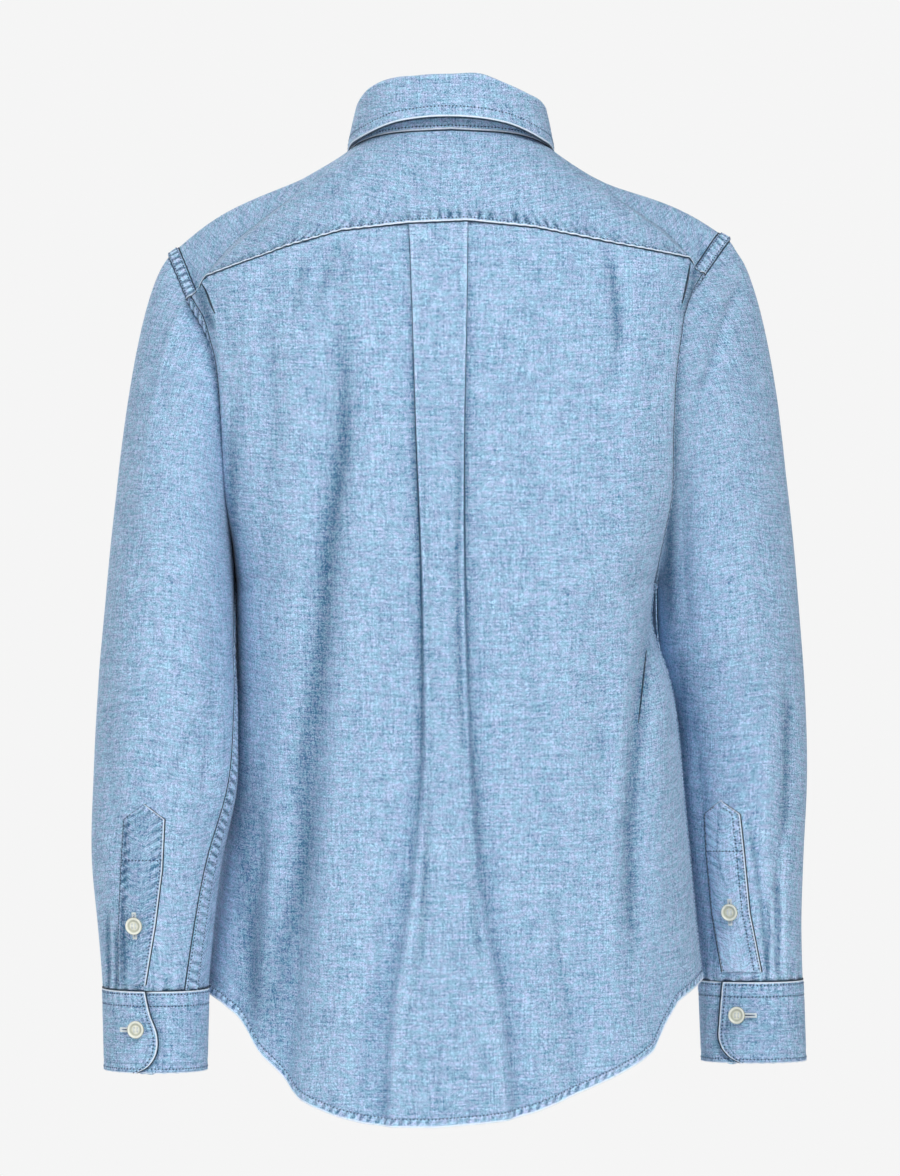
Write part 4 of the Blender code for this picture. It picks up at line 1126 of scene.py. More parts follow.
def surface(net):
    """A tree to find points of a net's surface in."""
    made = bmesh.new()
    bmesh.ops.create_grid(made, x_segments=net.shape[0] - 1, y_segments=net.shape[1] - 1, size=0.5)
    for vertex in made.verts:
        column = round((vertex.co.x + 0.5) * (net.shape[0] - 1))
        row = round((0.5 - vertex.co.y) * (net.shape[1] - 1))
        vertex.co = net[column, row, :3]
    tree = BVHTree.FromBMesh(made)
    made.free()
    return tree


@functools.cache
def sleeve_surface(left):
    return surface(sleeve_net(left))


def on_back_of(tree, x, drop):
    """The points of a surface seen from straight behind at x and these drops."""
    x, drop = np.broadcast_arrays(x, drop)
    found = np.empty(x.shape + (3,))
    for place in np.ndindex(x.shape):
        hit = tree.ray_cast(Vector((x[place], 300.0, -drop[place])), Vector((0, -1, 0)))[0]
        if hit is None:
            raise RuntimeError(f"no cloth at x {x[place]:.1f}, drop {drop[place]:.1f}")
        found[place] = hit
    return found


@functools.cache
def sleeve_placket_net(left):
    table = SLEEVE_PLACKET["left" if left else "right"]
    drop = np.linspace(table[0][0], table[-1][0], SLEEVE_PLACKET_ROWS + 1)[None, :]
    share = np.linspace(0, 1, SLEEVE_PLACKET_COLUMNS + 1)[:, None]
    outer, inner = line(table, 1, drop), line(table, 2, drop)
    x = mix(outer, inner, share)
    net = with_normals(on_back_of(sleeve_surface(left), x, drop), (0, 1, 0))
    rim = np.minimum(share, 1 - share) * np.abs(outer - inner)
    rim = np.minimum(rim, (drop - table[0][0]) * 0.9)
    height, pitch, reach = SLEEVE_PLACKET_PUCKERS
    ripple = waver(drop + 12 * share, pitch) * bell(rim - PUCKER_LINES["sleeve_placket"], reach)
    return raised(net, PLACKET_LIFT * ease(-0.5, 1.3, rim) + height * ripple)


@functools.cache
def cuff_net(left):
    """The cuff wraps once round and on under its own outer end, whose rounded edge shows at the back."""
    side, way = ("left", 1) if left else ("right", -1)
    drop, inner, outer, middle, depth = (SLEEVE_LEFT if left else SLEEVE_RIGHT)[-1]
    inward, outward = CUFF_TAPER[side]
    share = np.linspace(0, 1, CUFF_ROWS + 1)[None, :]
    swept = (360 + CUFF_OVERLAP) * np.linspace(0, 1, CUFF_COLUMNS + 1)[:, None]
    near = inner + way * (inward * share - CUFF_PROUD)
    far = outer + way * (CUFF_PROUD - outward * share)
    half, centre = np.abs(far - near) / 2, (near + far) / 2
    edge = np.degrees(np.arccos((curve(CUFF_END[side], 1, share) - centre) / half))
    angle = np.radians(edge - way * swept)
    under = CUFF_UNDER * ease(360 - CUFF_RAMP, 360, swept)
    x = centre + (half - under) * np.cos(angle)
    y = middle + (depth + CUFF_PROUD - under) * np.sin(angle)
    down = CUFF_HEIGHT * share
    up = CUFF_HEIGHT - down
    net = with_normals(points(x, y, -(drop + CUFF_GAP + down + CUFF_DIP[side] * np.sin(angle))))
    along = half * np.radians(swept)
    ends = np.minimum(*(measures(net, edge)[1] for edge in ENDS))
    sunk = sum(bell(down - row, GUTTER) for row in CUFF_ROWS_SEWN) + bell(up - CUFF_FOOT_ROW, GUTTER)
    sunk = sunk + bell(ends - CUFF_FOOT_ROW, GUTTER)
    ripple = ripples(along, down, *CUFF_TOP_PUCKERS) + ripples(along + 9, up, *CUFF_FOOT_PUCKERS)
    return raised(net, CUFF_RELIEF * ripple - CUFF_RELIEF * sunk - 0.5 * np.exp(-down / 0.8))


# Sewing


def edge_lines(net, edge, first=0, last=None):
    """The net's lines running in from one of its edges, from one place along that edge to another."""
    lines = {
        "top": net,
        "bottom": net[:, ::-1],
        "first": net.swapaxes(0, 1),
        "last": net.swapaxes(0, 1)[:, ::-1],
    }[edge]
    return resample(lines[first:last], ALONG_STEP)


def resample(path, step):
    """The same path or row of lines, with its places evenly spaced along its start."""
    starts = path if path.ndim == 2 else path[:, 0]
    reach = lengths(starts)
    count = max(int(reach[-1] / step), 2)
    at = np.linspace(0, reach[-1], count + 1)
    place = np.clip(np.searchsorted(reach, at) - 1, 0, len(reach) - 2)
    share = (at - reach[place]) / (reach[place + 1] - reach[place])
    share = share.reshape((-1,) + (1,) * (path.ndim - 1))
    return mix(path[place], path[place + 1], share)


def inside(lines, distance):
    """The point of each line this far along it from the edge."""
    reach = lengths(lines)
    every = np.arange(len(lines))
    place = np.clip((reach < np.reshape(distance, (-1, 1))).sum(axis=1), 1, lines.shape[1] - 1)
    low, high = reach[every, place - 1], reach[every, place]
    share = ((distance - low) / (high - low))[:, None]
    return mix(lines[every, place - 1], lines[every, place], share)


def rungs(along, inward):
    """The wave of the puckers that slant across a sewn strip."""
    return waver(along + RUNGS[1] * inward, RUNGS[0])


def rung_tone(net):
    """Darker and paler rungs across a sewn strip: painted shade and light on its puckers, and worn ridges.
    """
    inward = lengths(net)
    rim = np.minimum(inward, inward[:, -1:] - inward)
    return RUNGS[3] * rungs(lengths(net[:, 0])[:, None], inward) * ease(0, 1.0, rim)


def ply(lines, start, end, height):
    """A net for a doubled strip of cloth lying between two distances in from an edge."""
    wide = np.max(end) - start
    middle = np.linspace(0.9, wide - 0.9, max(int(wide / 1.3), 2))
    shares = np.concatenate([[0, 0.35], middle, [wide - 0.35, wide]]) / wide
    end = np.broadcast_to(end, len(lines))[:, None]
    distance = start + (end - start) * shares
    net = np.stack([inside(lines, value) for value in distance.T], axis=1)
    rim = np.minimum(distance - start, end - distance)
    along = lengths(net[:, 0])[:, None]
    wave = rungs(along, distance - start) * ease(0, 1.6, rim)
    return raised(net, height * ease(-0.5, 1.0, rim) + RUNGS[2] * wave)


def cord_edge(lines, start, width, height):
    """A net for the rolled and worn fold of a seam's edge."""
    turn = np.linspace(0, math.pi, 6)
    net = np.stack([inside(lines, start + width * share) for share in (1 - np.cos(turn)) / 2], axis=1)
    along = lengths(net[:, 0])[:, None]
    return raised(net, height * np.sin(turn) * (1 + 0.18 * waver(along, 5.1)) - 0.15)


def painted_shadow_line(lines, start, end, rise):
    """A net for the narrow dark line beside a seam: painted shadow, with some unfaded dye."""
    net = np.stack([inside(lines, mix(start, end, share)) for share in (0.0, 0.5, 1.0)], axis=1)
    return raised(net, rise)


def beside(lines, start, width=0.8):
    """A dark line of painted shadow that starts where a felled strip ends."""
    return painted_shadow_line(lines, start, start + width, 0.2)


def crest_line(tree, path, width):
    """A net for a painted shadow line in a fold of a surface seen from behind, narrowing to both ends."""
    drop = np.arange(path[0][1], path[-1][1], 1.5)
    x = curve([(down, across) for across, down in path], 1, drop)
    narrow = width / 2 * np.sin(math.pi * np.linspace(0.03, 0.97, len(drop))) ** 0.5
    net = on_back_of(tree, x + np.array((-1.0, 0.0, 1.0))[:, None] * narrow, drop)
    return raised(with_normals(net.swapaxes(0, 1), (0, 1, 0)), 0.25)


def over_fell(lines):
    """The lines of a seam, lifted at both ends to run over the felled seams that it meets."""
    along = lengths(lines[:, 0])
    ends = np.minimum(along, along[-1] - along)
    return raised(lines, (FELL_CLEAR * ease(FELL[1] + 4, FELL[1], ends))[:, None])


def spots(path, step, offset=0.5):
    """Middles, ways along and normals of things sewn at even steps along a path."""
    reach = lengths(path)
    at = (np.arange(int(reach[-1] / step)) + offset) * step
    found = np.stack([np.interp(at, reach, path[:, axis]) for axis in range(6)], axis=1)
    return found[:, :3], unit(np.gradient(found[:, :3], axis=0)), unit(found[:, 3:])


def bead(faces):
    """The points and faces of a ball with this many faces round it and from end to end."""
    made = bmesh.new()
    bmesh.ops.create_uvsphere(made, u_segments=faces[0], v_segments=faces[1], radius=0.5)
    ball = np.array([vertex.co for vertex in made.verts])
    corners = [[vertex.index for vertex in face.verts] for face in made.faces]
    made.free()
    return ball, corners


def strew(name, faces, places, size, finish, lift=0.0):
    """One joined mesh of balls of this length, width and height at the places."""
    ball, corners = bead(faces)
    middle, way, normal = (np.concatenate(parts) for parts in zip(*places))
    across = np.cross(normal, way)
    length, width, height = size
    body = (
        ball[None, :, 2:3] * way[:, None] * length
        + ball[None, :, 0:1] * across[:, None] * width
        + ball[None, :, 1:2] * normal[:, None] * height
    )
    body = body + (middle + normal * lift)[:, None]
    starts = range(0, len(ball) * len(middle), len(ball))
    faces = [[corner + start for corner in face] for start in starts for face in corners]
    mesh = bpy.data.meshes.new(name)
    mesh.from_pydata((body.reshape(-1, 3) * MM).tolist(), [], faces)
    return place_mesh(name, mesh, finish)


def place_mesh(name, mesh, finish):
    mesh.materials.append(finish)
    mesh.shade_smooth()
    made = bpy.data.objects.new(name, mesh)
    bpy.context.collection.objects.link(made)
    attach(made, BODY)
    return made


def bend(net, stride):
    """How sharply the net bends at each point, per mm: above 0 on ridges and below 0 in troughs."""
    total = np.zeros(net.shape[:2])
    for axis in (0, 1):
        place = np.arange(net.shape[axis])
        ahead = np.take(net, np.minimum(place + stride, place[-1]), axis)[..., :3]
        behind = np.take(net, np.maximum(place - stride, 0), axis)[..., :3]
        step = np.linalg.norm(ahead - behind, axis=-1) / 2
        total -= ((ahead + behind - 2 * net[..., :3]) * net[..., 3:]).sum(axis=-1) / step**2
    return total


def cut_map(net, vertical, axis=None):
    """Where a net's points lie on the flat cloth: across from its middle or round an axis, and down."""
    if axis is not None:
        turn = np.unwrap(np.arctan2(net[..., 1] - axis[1], net[..., 0] - axis[0]), axis=0)
        return np.stack([turn * axis[2], -net[..., 2]], axis=-1)
    down = lengths(net)
    across = lengths(net.swapaxes(0, 1)).T
    if vertical:
        down = down - net[:, :1, 2]
    return np.stack([across - across[len(net) // 2], down], axis=-1)


def cloth(name, net, wall, finish, stride=2, vertical=True, tube=False, tone=0.0, axis=None):
    """A thin shell whose outer face is the net, with its weave's UV map and its worn and painted-shade
    tones.
    """
    columns, rows = net.shape[0] - 1, net.shape[1] - 1
    made = bmesh.new()
    bmesh.ops.create_grid(made, x_segments=columns, y_segments=rows, size=0.5)
    mesh = bpy.data.meshes.new(name)
    made.to_mesh(mesh)
    made.free()
    flat = np.empty(3 * len(mesh.vertices), np.float32)
    mesh.vertices.foreach_get("co", flat)
    flat = flat.reshape(-1, 3)
    column = np.rint((flat[:, 0] + 0.5) * columns).astype(int)
    row = np.rint((0.5 - flat[:, 1]) * rows).astype(int)
    mesh.vertices.foreach_set("co", (net[column, row, :3] * MM).astype(np.float32).ravel())
    corners = np.empty(len(mesh.loops), np.int32)
    mesh.loops.foreach_get("vertex_index", corners)
    places = (cut_map(net, vertical, axis) * MM)[column, row][corners]
    mesh.uv_layers.new(name="cut").data.foreach_set("uv", places.astype(np.float32).ravel())
    # Paler on ridges as worn and darker in troughs as painted shade, plus the painted tones given.
    worn = np.tanh(WEAR_AND_SHADE_GAIN * (bend(net, stride) - WEAR_AND_SHADE_LEVEL)) + tone
    mesh.attributes.new("wear_and_shade", "FLOAT", "POINT").data.foreach_set(
        "value", np.broadcast_to(worn, net.shape[:2])[column, row].astype(np.float32)
    )
    facing = np.cross(np.gradient(net[..., :3], axis=0), np.gradient(net[..., :3], axis=1))
    if (facing * net[..., 3:]).sum() > 0:
        mesh.flip_normals()
    if tube:
        whole = bmesh.new()
        whole.from_mesh(mesh)
        bmesh.ops.remove_doubles(whole, verts=whole.verts[:], dist=1e-6)
        whole.to_mesh(mesh)
        whole.free()
    piece = place_mesh(name, mesh, finish)
    thicken = piece.modifiers.new("wall", "SOLIDIFY")
    thicken.thickness = wall * MM
    thicken.offset = -1
    return piece


# Materials


def add_node(tree, kind, **settings):
    made = tree.nodes.new(kind)
    for name, value in settings.items():
        setattr(made, name, value)
    return made


def feed(tree, socket, value):
    """Links an output to the socket, or sets the socket to a constant."""
    if isinstance(value, bpy.types.NodeSocket):
        tree.links.new(value, socket)
    else:
        socket.default_value = value


def sum_up(tree, operation, first, second, clamp=False):
    made = add_node(tree, "ShaderNodeMath", operation=operation, use_clamp=clamp)
    feed(tree, made.inputs[0], first)
    feed(tree, made.inputs[1], second)
    return made.outputs[0]


def stretch(tree, vector, sizes):
    """The vector in steps of these sizes in metres."""
    made = add_node(tree, "ShaderNodeVectorMath", operation="MULTIPLY")
    feed(tree, made.inputs[0], vector)
    made.inputs[1].default_value = [1 / size for size in sizes]
    return made.outputs[0]


def cloud(tree, vector, detail=1.0, flat=True):
    made = add_node(tree, "ShaderNodeTexNoise", noise_dimensions="2D" if flat else "3D")
    feed(tree, made.inputs["Vector"], vector)
    made.inputs["Scale"].default_value = 1.0
    made.inputs["Detail"].default_value = detail
    made.inputs["Roughness"].default_value = 0.6
    return made


def mix_colour(tree, factor, first, second, blend="MIX"):
    made = add_node(tree, "ShaderNodeMix", data_type="RGBA", blend_type=blend)
    feed(tree, made.inputs["Factor"], factor)
    feed(tree, made.inputs["A"], first)
    feed(tree, made.inputs["B"], second)
    return made.outputs["Result"]


def new_finish(name, roughness):
    made = bpy.data.materials.new(name)
    made.use_nodes = True
    shader = made.node_tree.nodes["Principled BSDF"]
    shader.inputs["Roughness"].default_value = roughness
    return made, made.node_tree, shader


def roughen(tree, shader, height, strength, distance):
    bump = add_node(tree, "ShaderNodeBump")
    bump.inputs["Strength"].default_value = strength
    bump.inputs["Distance"].default_value = distance
    feed(tree, bump.inputs["Height"], height)
    feed(tree, shader.inputs["Normal"], bump.outputs["Normal"])


def slubs(tree, across, along, reach):
    """A random tone for each stretch of each thread, shifted so that neighbours don't line up."""
    thread = sum_up(tree, "FLOOR", sum_up(tree, "DIVIDE", across, THREAD), 0.0)
    shift = add_node(tree, "ShaderNodeTexWhiteNoise", noise_dimensions="1D")
    feed(tree, shift.inputs["W"], thread)
    stretches = sum_up(tree, "ADD", sum_up(tree, "DIVIDE", along, reach), shift.outputs[0])
    place = add_node(tree, "ShaderNodeCombineXYZ")
    feed(tree, place.inputs["X"], thread)
    feed(tree, place.inputs["Y"], sum_up(tree, "FLOOR", stretches, 0.0))
    found = add_node(tree, "ShaderNodeTexWhiteNoise", noise_dimensions="2D")
    feed(tree, found.inputs["Vector"], place.outputs[0])
    return found.outputs[0]


def chambray(name, pale=0.0, relief=1.0, shade=1.0, bleach=0.0):
    """Blue threads one way, pale the other, flecked at each crossing; paler where worn, painted shade
    darker.
    """
    finish, tree, shader = new_finish(name, 0.92)
    colours = bpy.context.scene.shirt_colours
    place = add_node(tree, "ShaderNodeUVMap", uv_map="cut").outputs["UV"]
    apart = add_node(tree, "ShaderNodeSeparateXYZ")
    feed(tree, apart.inputs[0], place)
    warp = slubs(tree, apart.outputs["X"], apart.outputs["Y"], WARP_SLUB)
    weft = slubs(tree, apart.outputs["Y"], apart.outputs["X"], WEFT_SLUB)
    cell = add_node(tree, "ShaderNodeVectorMath", operation="FLOOR")
    feed(tree, cell.inputs[0], stretch(tree, place, (THREAD, THREAD, 1.0)))
    fleck = add_node(tree, "ShaderNodeTexWhiteNoise", noise_dimensions="2D")
    feed(tree, fleck.inputs["Vector"], cell.outputs[0])
    wear_and_shade = add_node(tree, "ShaderNodeAttribute", attribute_name="wear_and_shade").outputs["Fac"]
    speck = add_node(tree, "ShaderNodeSeparateColor")
    feed(tree, speck.inputs[0], fleck.outputs["Color"])
    over = add_node(tree, "ShaderNodeTexChecker")
    feed(tree, over.inputs["Vector"], stretch(tree, place, (THREAD, THREAD, 1.0)))
    over.inputs["Scale"].default_value = 1.0
    uneven = sum_up(tree, "MULTIPLY", speck.outputs[2], 2.0 - 2 * WEAVE_EVEN)
    twist = sum_up(tree, "ADD", uneven, WEAVE_EVEN)
    crossing = sum_up(tree, "MULTIPLY", sum_up(tree, "SUBTRACT", over.outputs["Fac"], 0.5), twist)
    tone = sum_up(tree, "MULTIPLY_ADD", crossing, 2 * WEAVE_TONE)
    tone.node.inputs[2].default_value = 0.5 + pale
    for source, strength in ((warp, WARP_TONE), (weft, WEFT_TONE), (speck.outputs[0], FLECK_TONE)):
        centred = sum_up(tree, "SUBTRACT", source, 0.5)
        tone = sum_up(tree, "ADD", sum_up(tree, "MULTIPLY", centred, strength), tone)
    # The wear_and_shade attribute: pale where worn, painted shade and painted light where given.
    tone = sum_up(tree, "ADD", tone, sum_up(tree, "MULTIPLY", wear_and_shade, WEAR_AND_SHADE_TONE), clamp=True)
    patch = cloud(tree, stretch(tree, place, HUE_PATCH), 1.0).outputs[0]
    patched = sum_up(tree, "MULTIPLY", patch, PATCH_HUE)
    hue = sum_up(tree, "ADD", patched, sum_up(tree, "MULTIPLY", speck.outputs[1], FLECK_HUE))
    hue = sum_up(tree, "SUBTRACT", hue, HUE_LEVEL, clamp=True)
    dark = mix_colour(tree, hue, colours.blue, colours.greener_blue)
    light = mix_colour(tree, hue, colours.pale, colours.greener_pale)
    colour = mix_colour(tree, tone, dark, light)
    if bleach:
        colour = mix_colour(tree, bleach, colour, colours.bleached)
    # Painted shade: darkens the colour where the wear_and_shade attribute is below 0.
    shade_darkening = sum_up(tree, "ADD", sum_up(tree, "MULTIPLY", wear_and_shade, PAINTED_SHADE_STRENGTH), 1.0, clamp=True)
    colour = mix_colour(tree, 1.0, colour, shade_darkening, "MULTIPLY")
    if shade < 1:
        colour = mix_colour(tree, 1.0, colour, (shade, shade, shade, 1.0), "MULTIPLY")
    feed(tree, shader.inputs["Base Color"], colour)
    height = sum_up(tree, "ADD", sum_up(tree, "ADD", warp, weft), fleck.outputs[0])
    roughen(tree, shader, height, 0.35 * relief, 0.0003)
    shader.inputs["Sheen Weight"].default_value = 0.12
    shader.inputs["Sheen Roughness"].default_value = 0.5
    shader.inputs["Specular IOR Level"].default_value = 0.2
    return finish


def thread(name, colour, other, roughness=0.7):
    """Twisted sewing thread, a little uneven in colour."""
    finish, tree, shader = new_finish(name, roughness)
    place = add_node(tree, "ShaderNodeTexCoord").outputs["Object"]
    twist = cloud(tree, stretch(tree, place, (0.0007, 0.0007, 0.0007)), 1.0, flat=False).outputs[0]
    feed(tree, shader.inputs["Base Color"], mix_colour(tree, twist, colour, other))
    roughen(tree, shader, twist, 0.3, 0.0002)
    return finish


def pearly(name, colour, other):
    """Cream plastic with a pearly swirl, painted light and shade in rings, and a hard shine."""
    finish, tree, shader = new_finish(name, 0.22)
    place = add_node(tree, "ShaderNodeTexCoord").outputs["Object"]
    swirl = cloud(tree, stretch(tree, place, (0.0045, 0.0045, 0.009)), 3.0, flat=False)
    swirl.inputs["Distortion"].default_value = 1.6
    # The ring attribute paints light on the rim and shade in the dish.
    ring = add_node(tree, "ShaderNodeAttribute", attribute_name="ring").outputs["Fac"]
    pale = sum_up(tree, "ADD", sum_up(tree, "MULTIPLY", swirl.outputs[0], 0.5), ring, clamp=True)
    feed(tree, shader.inputs["Base Color"], mix_colour(tree, pale, colour, other))
    grain = cloud(tree, stretch(tree, place, (0.0006, 0.0006, 0.0006)), 2.0, flat=False).outputs[0]
    feed(tree, shader.inputs["Roughness"], sum_up(tree, "MULTIPLY_ADD", grain, 0.25))
    roughen(tree, shader, grain, 0.08, 0.0002)
    shader.inputs["Coat Weight"].default_value = 0.5
    shader.inputs["Coat Roughness"].default_value = 0.12
    return finish


def plain(name, colour, roughness):
    finish, tree, shader = new_finish(name, roughness)
    place = add_node(tree, "ShaderNodeTexCoord").outputs["Object"]
    grain = cloud(tree, stretch(tree, place, (0.02, 0.02, 0.02)), 3.0, flat=False).outputs[0]
    darker = [channel * 0.97 for channel in colour[:3]] + [1.0]
    feed(tree, shader.inputs["Base Color"], mix_colour(tree, grain, darker, colour))
    return finish


@functools.cache
def finishes():
    colours = bpy.context.scene.shirt_colours
    return {
        "cloth": chambray("chambray_weave"),
        "seam": chambray("chambray_doubled", pale=0.08),
        "edge": chambray("chambray_worn_edge", pale=0.5, relief=0.5, bleach=0.6),
        "cuff": chambray("chambray_cuff", pale=-0.1),
        # Painted shadow: near-black cloth for the dark lines beside the seams and in the folds.
        "crevice": chambray("chambray_painted_shadow", pale=-0.6, relief=0.6, shade=0.16),
        "thread": thread("sewing_thread", colours.stitch, colours.stitch_light),
        "hole": thread("needle_hole", *NEEDLE_HOLE_COLOURS),
        "buttonhole": thread("buttonhole_thread", colours.buttonhole, colours.buttonhole_light),
        "slot": thread("buttonhole_slot", *SLOT_COLOURS),
        "button": pearly("pearly_button", colours.button, colours.button_light),
    }


# Settings


class ShirtClothSettings(bpy.types.PropertyGroup):
    """Thicknesses of the cloth."""

    single: bpy.props.FloatProperty(
        name="Single", description="One layer of cloth", default=0.0006, unit="LENGTH"
    )
    doubled: bpy.props.FloatProperty(
        name="Doubled", description="Interlined cloth of the collar and cuffs", default=0.0013,
        unit="LENGTH",
    )


def colour_setting(name, description, colour):
    return bpy.props.FloatVectorProperty(
        name=name, description=description, default=(*colour, 1.0), size=4, min=0.0, max=1.0,
        subtype="COLOR",
    )


class ShirtColourSettings(bpy.types.PropertyGroup):
    """Colours of the cloth's threads, the sewing and the buttons."""

    blue: colour_setting("Blue", "Blue threads of the cloth", (0.062, 0.165, 0.335))
    greener_blue: colour_setting("Greener blue", "What some blue threads tend to", (0.048, 0.185, 0.330))
    pale: colour_setting("Pale", "Pale threads of the cloth", (0.66, 0.75, 1.0))
    greener_pale: colour_setting("Greener pale", "What some pale threads tend to", (0.53, 0.81, 1.0))
    bleached: colour_setting("Bleached", "Cloth at the worn folds", (0.93, 0.96, 1.0))
    stitch: colour_setting("Stitches", "Sewing thread where it is darker", (0.22, 0.34, 0.55))
    stitch_light: colour_setting("Pale stitches", "Sewing thread where it is paler", (0.40, 0.52, 0.72))
    buttonhole: colour_setting("Buttonholes", "Their thread where it is darker", (0.62, 0.68, 0.72))
    buttonhole_light: colour_setting("Pale buttonholes", "Their paler thread", (0.86, 0.87, 0.84))
    button: colour_setting("Buttons", "Buttons where they are darker", (0.30, 0.31, 0.21))
    button_light: colour_setting("Pale buttons", "Buttons where they are paler", (0.92, 0.92, 0.81))


class ShirtSewingSettings(bpy.types.PropertyGroup):
    """The stitches."""

    pitch: bpy.props.FloatProperty(
        name="Pitch", description="From one stitch to the next", default=0.0022, unit="LENGTH"
    )
    length: bpy.props.FloatProperty(
        name="Length", description="How much of a stitch shows", default=0.0011, unit="LENGTH"
    )
    thickness: bpy.props.FloatProperty(
        name="Thread", description="Thickness of the thread", default=0.0005, unit="LENGTH"
    )
    hole: bpy.props.FloatProperty(
        name="Hole", description="Width of a needle hole", default=0.0013, unit="LENGTH"
    )


class ShirtButtonSettings(bpy.types.PropertyGroup):
    """The buttons."""

    radius: bpy.props.FloatProperty(
        name="Radius", description="Radius of a button", default=0.0053, unit="LENGTH"
    )
    height: bpy.props.FloatProperty(
        name="Height", description="Height of a button at its rim", default=0.0024, unit="LENGTH"
    )
    steps: bpy.props.IntProperty(
        name="Steps", description="Faces round a button's rim", default=48, min=12, max=96
    )


class ShirtStageSettings(bpy.types.PropertyGroup):
    """The camera and the light."""

    distance: bpy.props.FloatProperty(
        name="Distance", description="From the camera to the shirt's middle", default=11.0,
        unit="LENGTH",
    )
    frame_height: bpy.props.FloatProperty(
        name="Frame", description="Height of the view at the shirt", default=0.7056, unit="LENGTH"
    )
    key: bpy.props.FloatProperty(name="Key", description="Main light", default=73.0, unit="POWER")
    fill: bpy.props.FloatProperty(
        name="Fill", description="Second, softer light on the back", default=38.0, unit="POWER"
    )
    ambient: bpy.props.FloatProperty(
        name="Ambient", description="Light from all round", default=0.285, min=0.0
    )
    floor_glow: bpy.props.FloatProperty(
        name="Floor", description="Light of the floor's own", default=0.15, min=0.0
    )


# Pieces


def cut_sheet(piece, node):
    """Hides the frame's solid that a piece of cloth replaces."""
    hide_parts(node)


def sewn(name, nets, wall, finish="seam", tones=None):
    """Strips of sewn cloth as one piece."""
    tones = tones or [0.0] * len(nets)
    made = [
        cloth(f"{name}_{number}", net, wall, finishes()[finish], 1, False, tone=tone)
        for number, (net, tone) in enumerate(zip(nets, tones))
    ]
    return join(name, made)


def join(name, made):
    """One object of several, with their live thickness."""
    keep = made[0]
    whole = bmesh.new()
    for piece in made:
        whole.from_mesh(piece.data)
    whole.to_mesh(keep.data)
    whole.free()
    for piece in made[1:]:
        mesh = piece.data
        bpy.data.objects.remove(piece)
        bpy.data.meshes.remove(mesh)
    keep.name = keep.data.name = name
    return keep


class SHIRT_OT_back(bpy.types.Operator):
    """Makes the back with its box pleat"""

    bl_idname = "shirt.back"
    bl_label = "Back"

    def execute(self, context):
        wall = context.scene.shirt_cloth.single / MM
        # The back's tone is painted shade and worn pale pleat edges.
        made = cloth("back_cloth", back_net(), wall, finishes()["cloth"], tone=pleat_tone())
        cut_sheet(made, "back")
        return {"FINISHED"}


class SHIRT_OT_yoke(bpy.types.Operator):
    """Makes the yoke, which laps over the back and the fronts"""

    bl_idname = "shirt.yoke"
    bl_label = "Yoke"

    def execute(self, context):
        wall = context.scene.shirt_cloth.single / MM
        # The yoke's dashes are painted shade in its puckers' hollows.
        cut_sheet(cloth("yoke_cloth", yoke_net(), wall, finishes()["cloth"], 1, tone=yoke_tone()), "yoke")
        return {"FINISHED"}


class SHIRT_OT_fronts(bpy.types.Operator):
    """Makes the two fronts and the placket"""

    bl_idname = "shirt.fronts"
    bl_label = "Fronts"

    def execute(self, context):
        wall = context.scene.shirt_cloth.single / MM
        for side, left in SIDES:
            made = cloth(f"front_{side}_cloth", front_net(left), wall, finishes()["cloth"])
            cut_sheet(made, f"front_{side}")
        made = cloth("front_placket_cloth", placket_net(), wall, finishes()["cloth"])
        cut_sheet(made, "front_placket")
        return {"FINISHED"}


class SHIRT_OT_sleeves(bpy.types.Operator):
    """Makes the sleeves and their plackets"""

    bl_idname = "shirt.sleeves"
    bl_label = "Sleeves"

    def execute(self, context):
        wall = context.scene.shirt_cloth.single / MM
        for side, left in SIDES:
            net = sleeve_net(left)
            # Painted shade and painted light on the sleeve, from its shade table.
            tone = creases(SLEEVE_SHADES[side], net[..., 0], -net[..., 2])
            made = cloth(f"sleeve_{side}_cloth", net, wall, finishes()["cloth"], 1, tube=True, tone=tone)
            cut_sheet(made, f"sleeve_{side}")
            net = sleeve_placket_net(left)
            # Painted light on the right placket, and painted shade in the plackets' creases.
            tone = PLACKET_TONE[side] + creases(PLACKET_SHADES[side], net[..., 0], -net[..., 2])
            made = cloth(f"sleeve_placket_{side}_cloth", net, wall, finishes()["cuff"], 1, tone=tone)
            cut_sheet(made, f"sleeve_placket_{side}")
        return {"FINISHED"}


class SHIRT_OT_cuffs(bpy.types.Operator):
    """Makes the cuffs, whose outer ends lap over their inner ones"""

    bl_idname = "shirt.cuffs"
    bl_label = "Cuffs"

    def execute(self, context):
        wall = context.scene.shirt_cloth.doubled / MM
        for side, left in SIDES:
            inner, outer, middle, depth = (SLEEVE_LEFT if left else SLEEVE_RIGHT)[-1][1:]
            axis = ((inner + outer) / 2, middle, (abs(outer - inner) / 2 + depth) / 2)
            made = cloth(f"cuff_{side}_cloth", cuff_net(left), wall, finishes()["cuff"], 1, axis=axis)
            cut_sheet(made, f"cuff_{side}")
        return {"FINISHED"}


class SHIRT_OT_collar(bpy.types.Operator):
    """Makes the collar and the band that it is sewn to"""

    bl_idname = "shirt.collar"
    bl_label = "Collar"

    def execute(self, context):
        wall = context.scene.shirt_cloth.doubled / MM
        finish = finishes()["cloth"]
        cut_sheet(cloth("collar_cloth", collar_net(), wall, finish), "collar")
        # The band is painted lighter against the leaf's shade.
        cut_sheet(cloth("collar_band_cloth", band_net(), wall, finish, tone=BAND_PAINTED_LIGHT), "collar_band")
        return {"FINISHED"}


def back_strip(edge):
    """The lines in from the back's armhole, and where the strip that lies on them starts and ends."""
    lines = edge_lines(back_net(), edge, 0, UNDERARM_ROW + 1)
    return lines, FELL[0], line(BACK_FELL_ENDS[edge], 1, -lines[:, 0, 2])


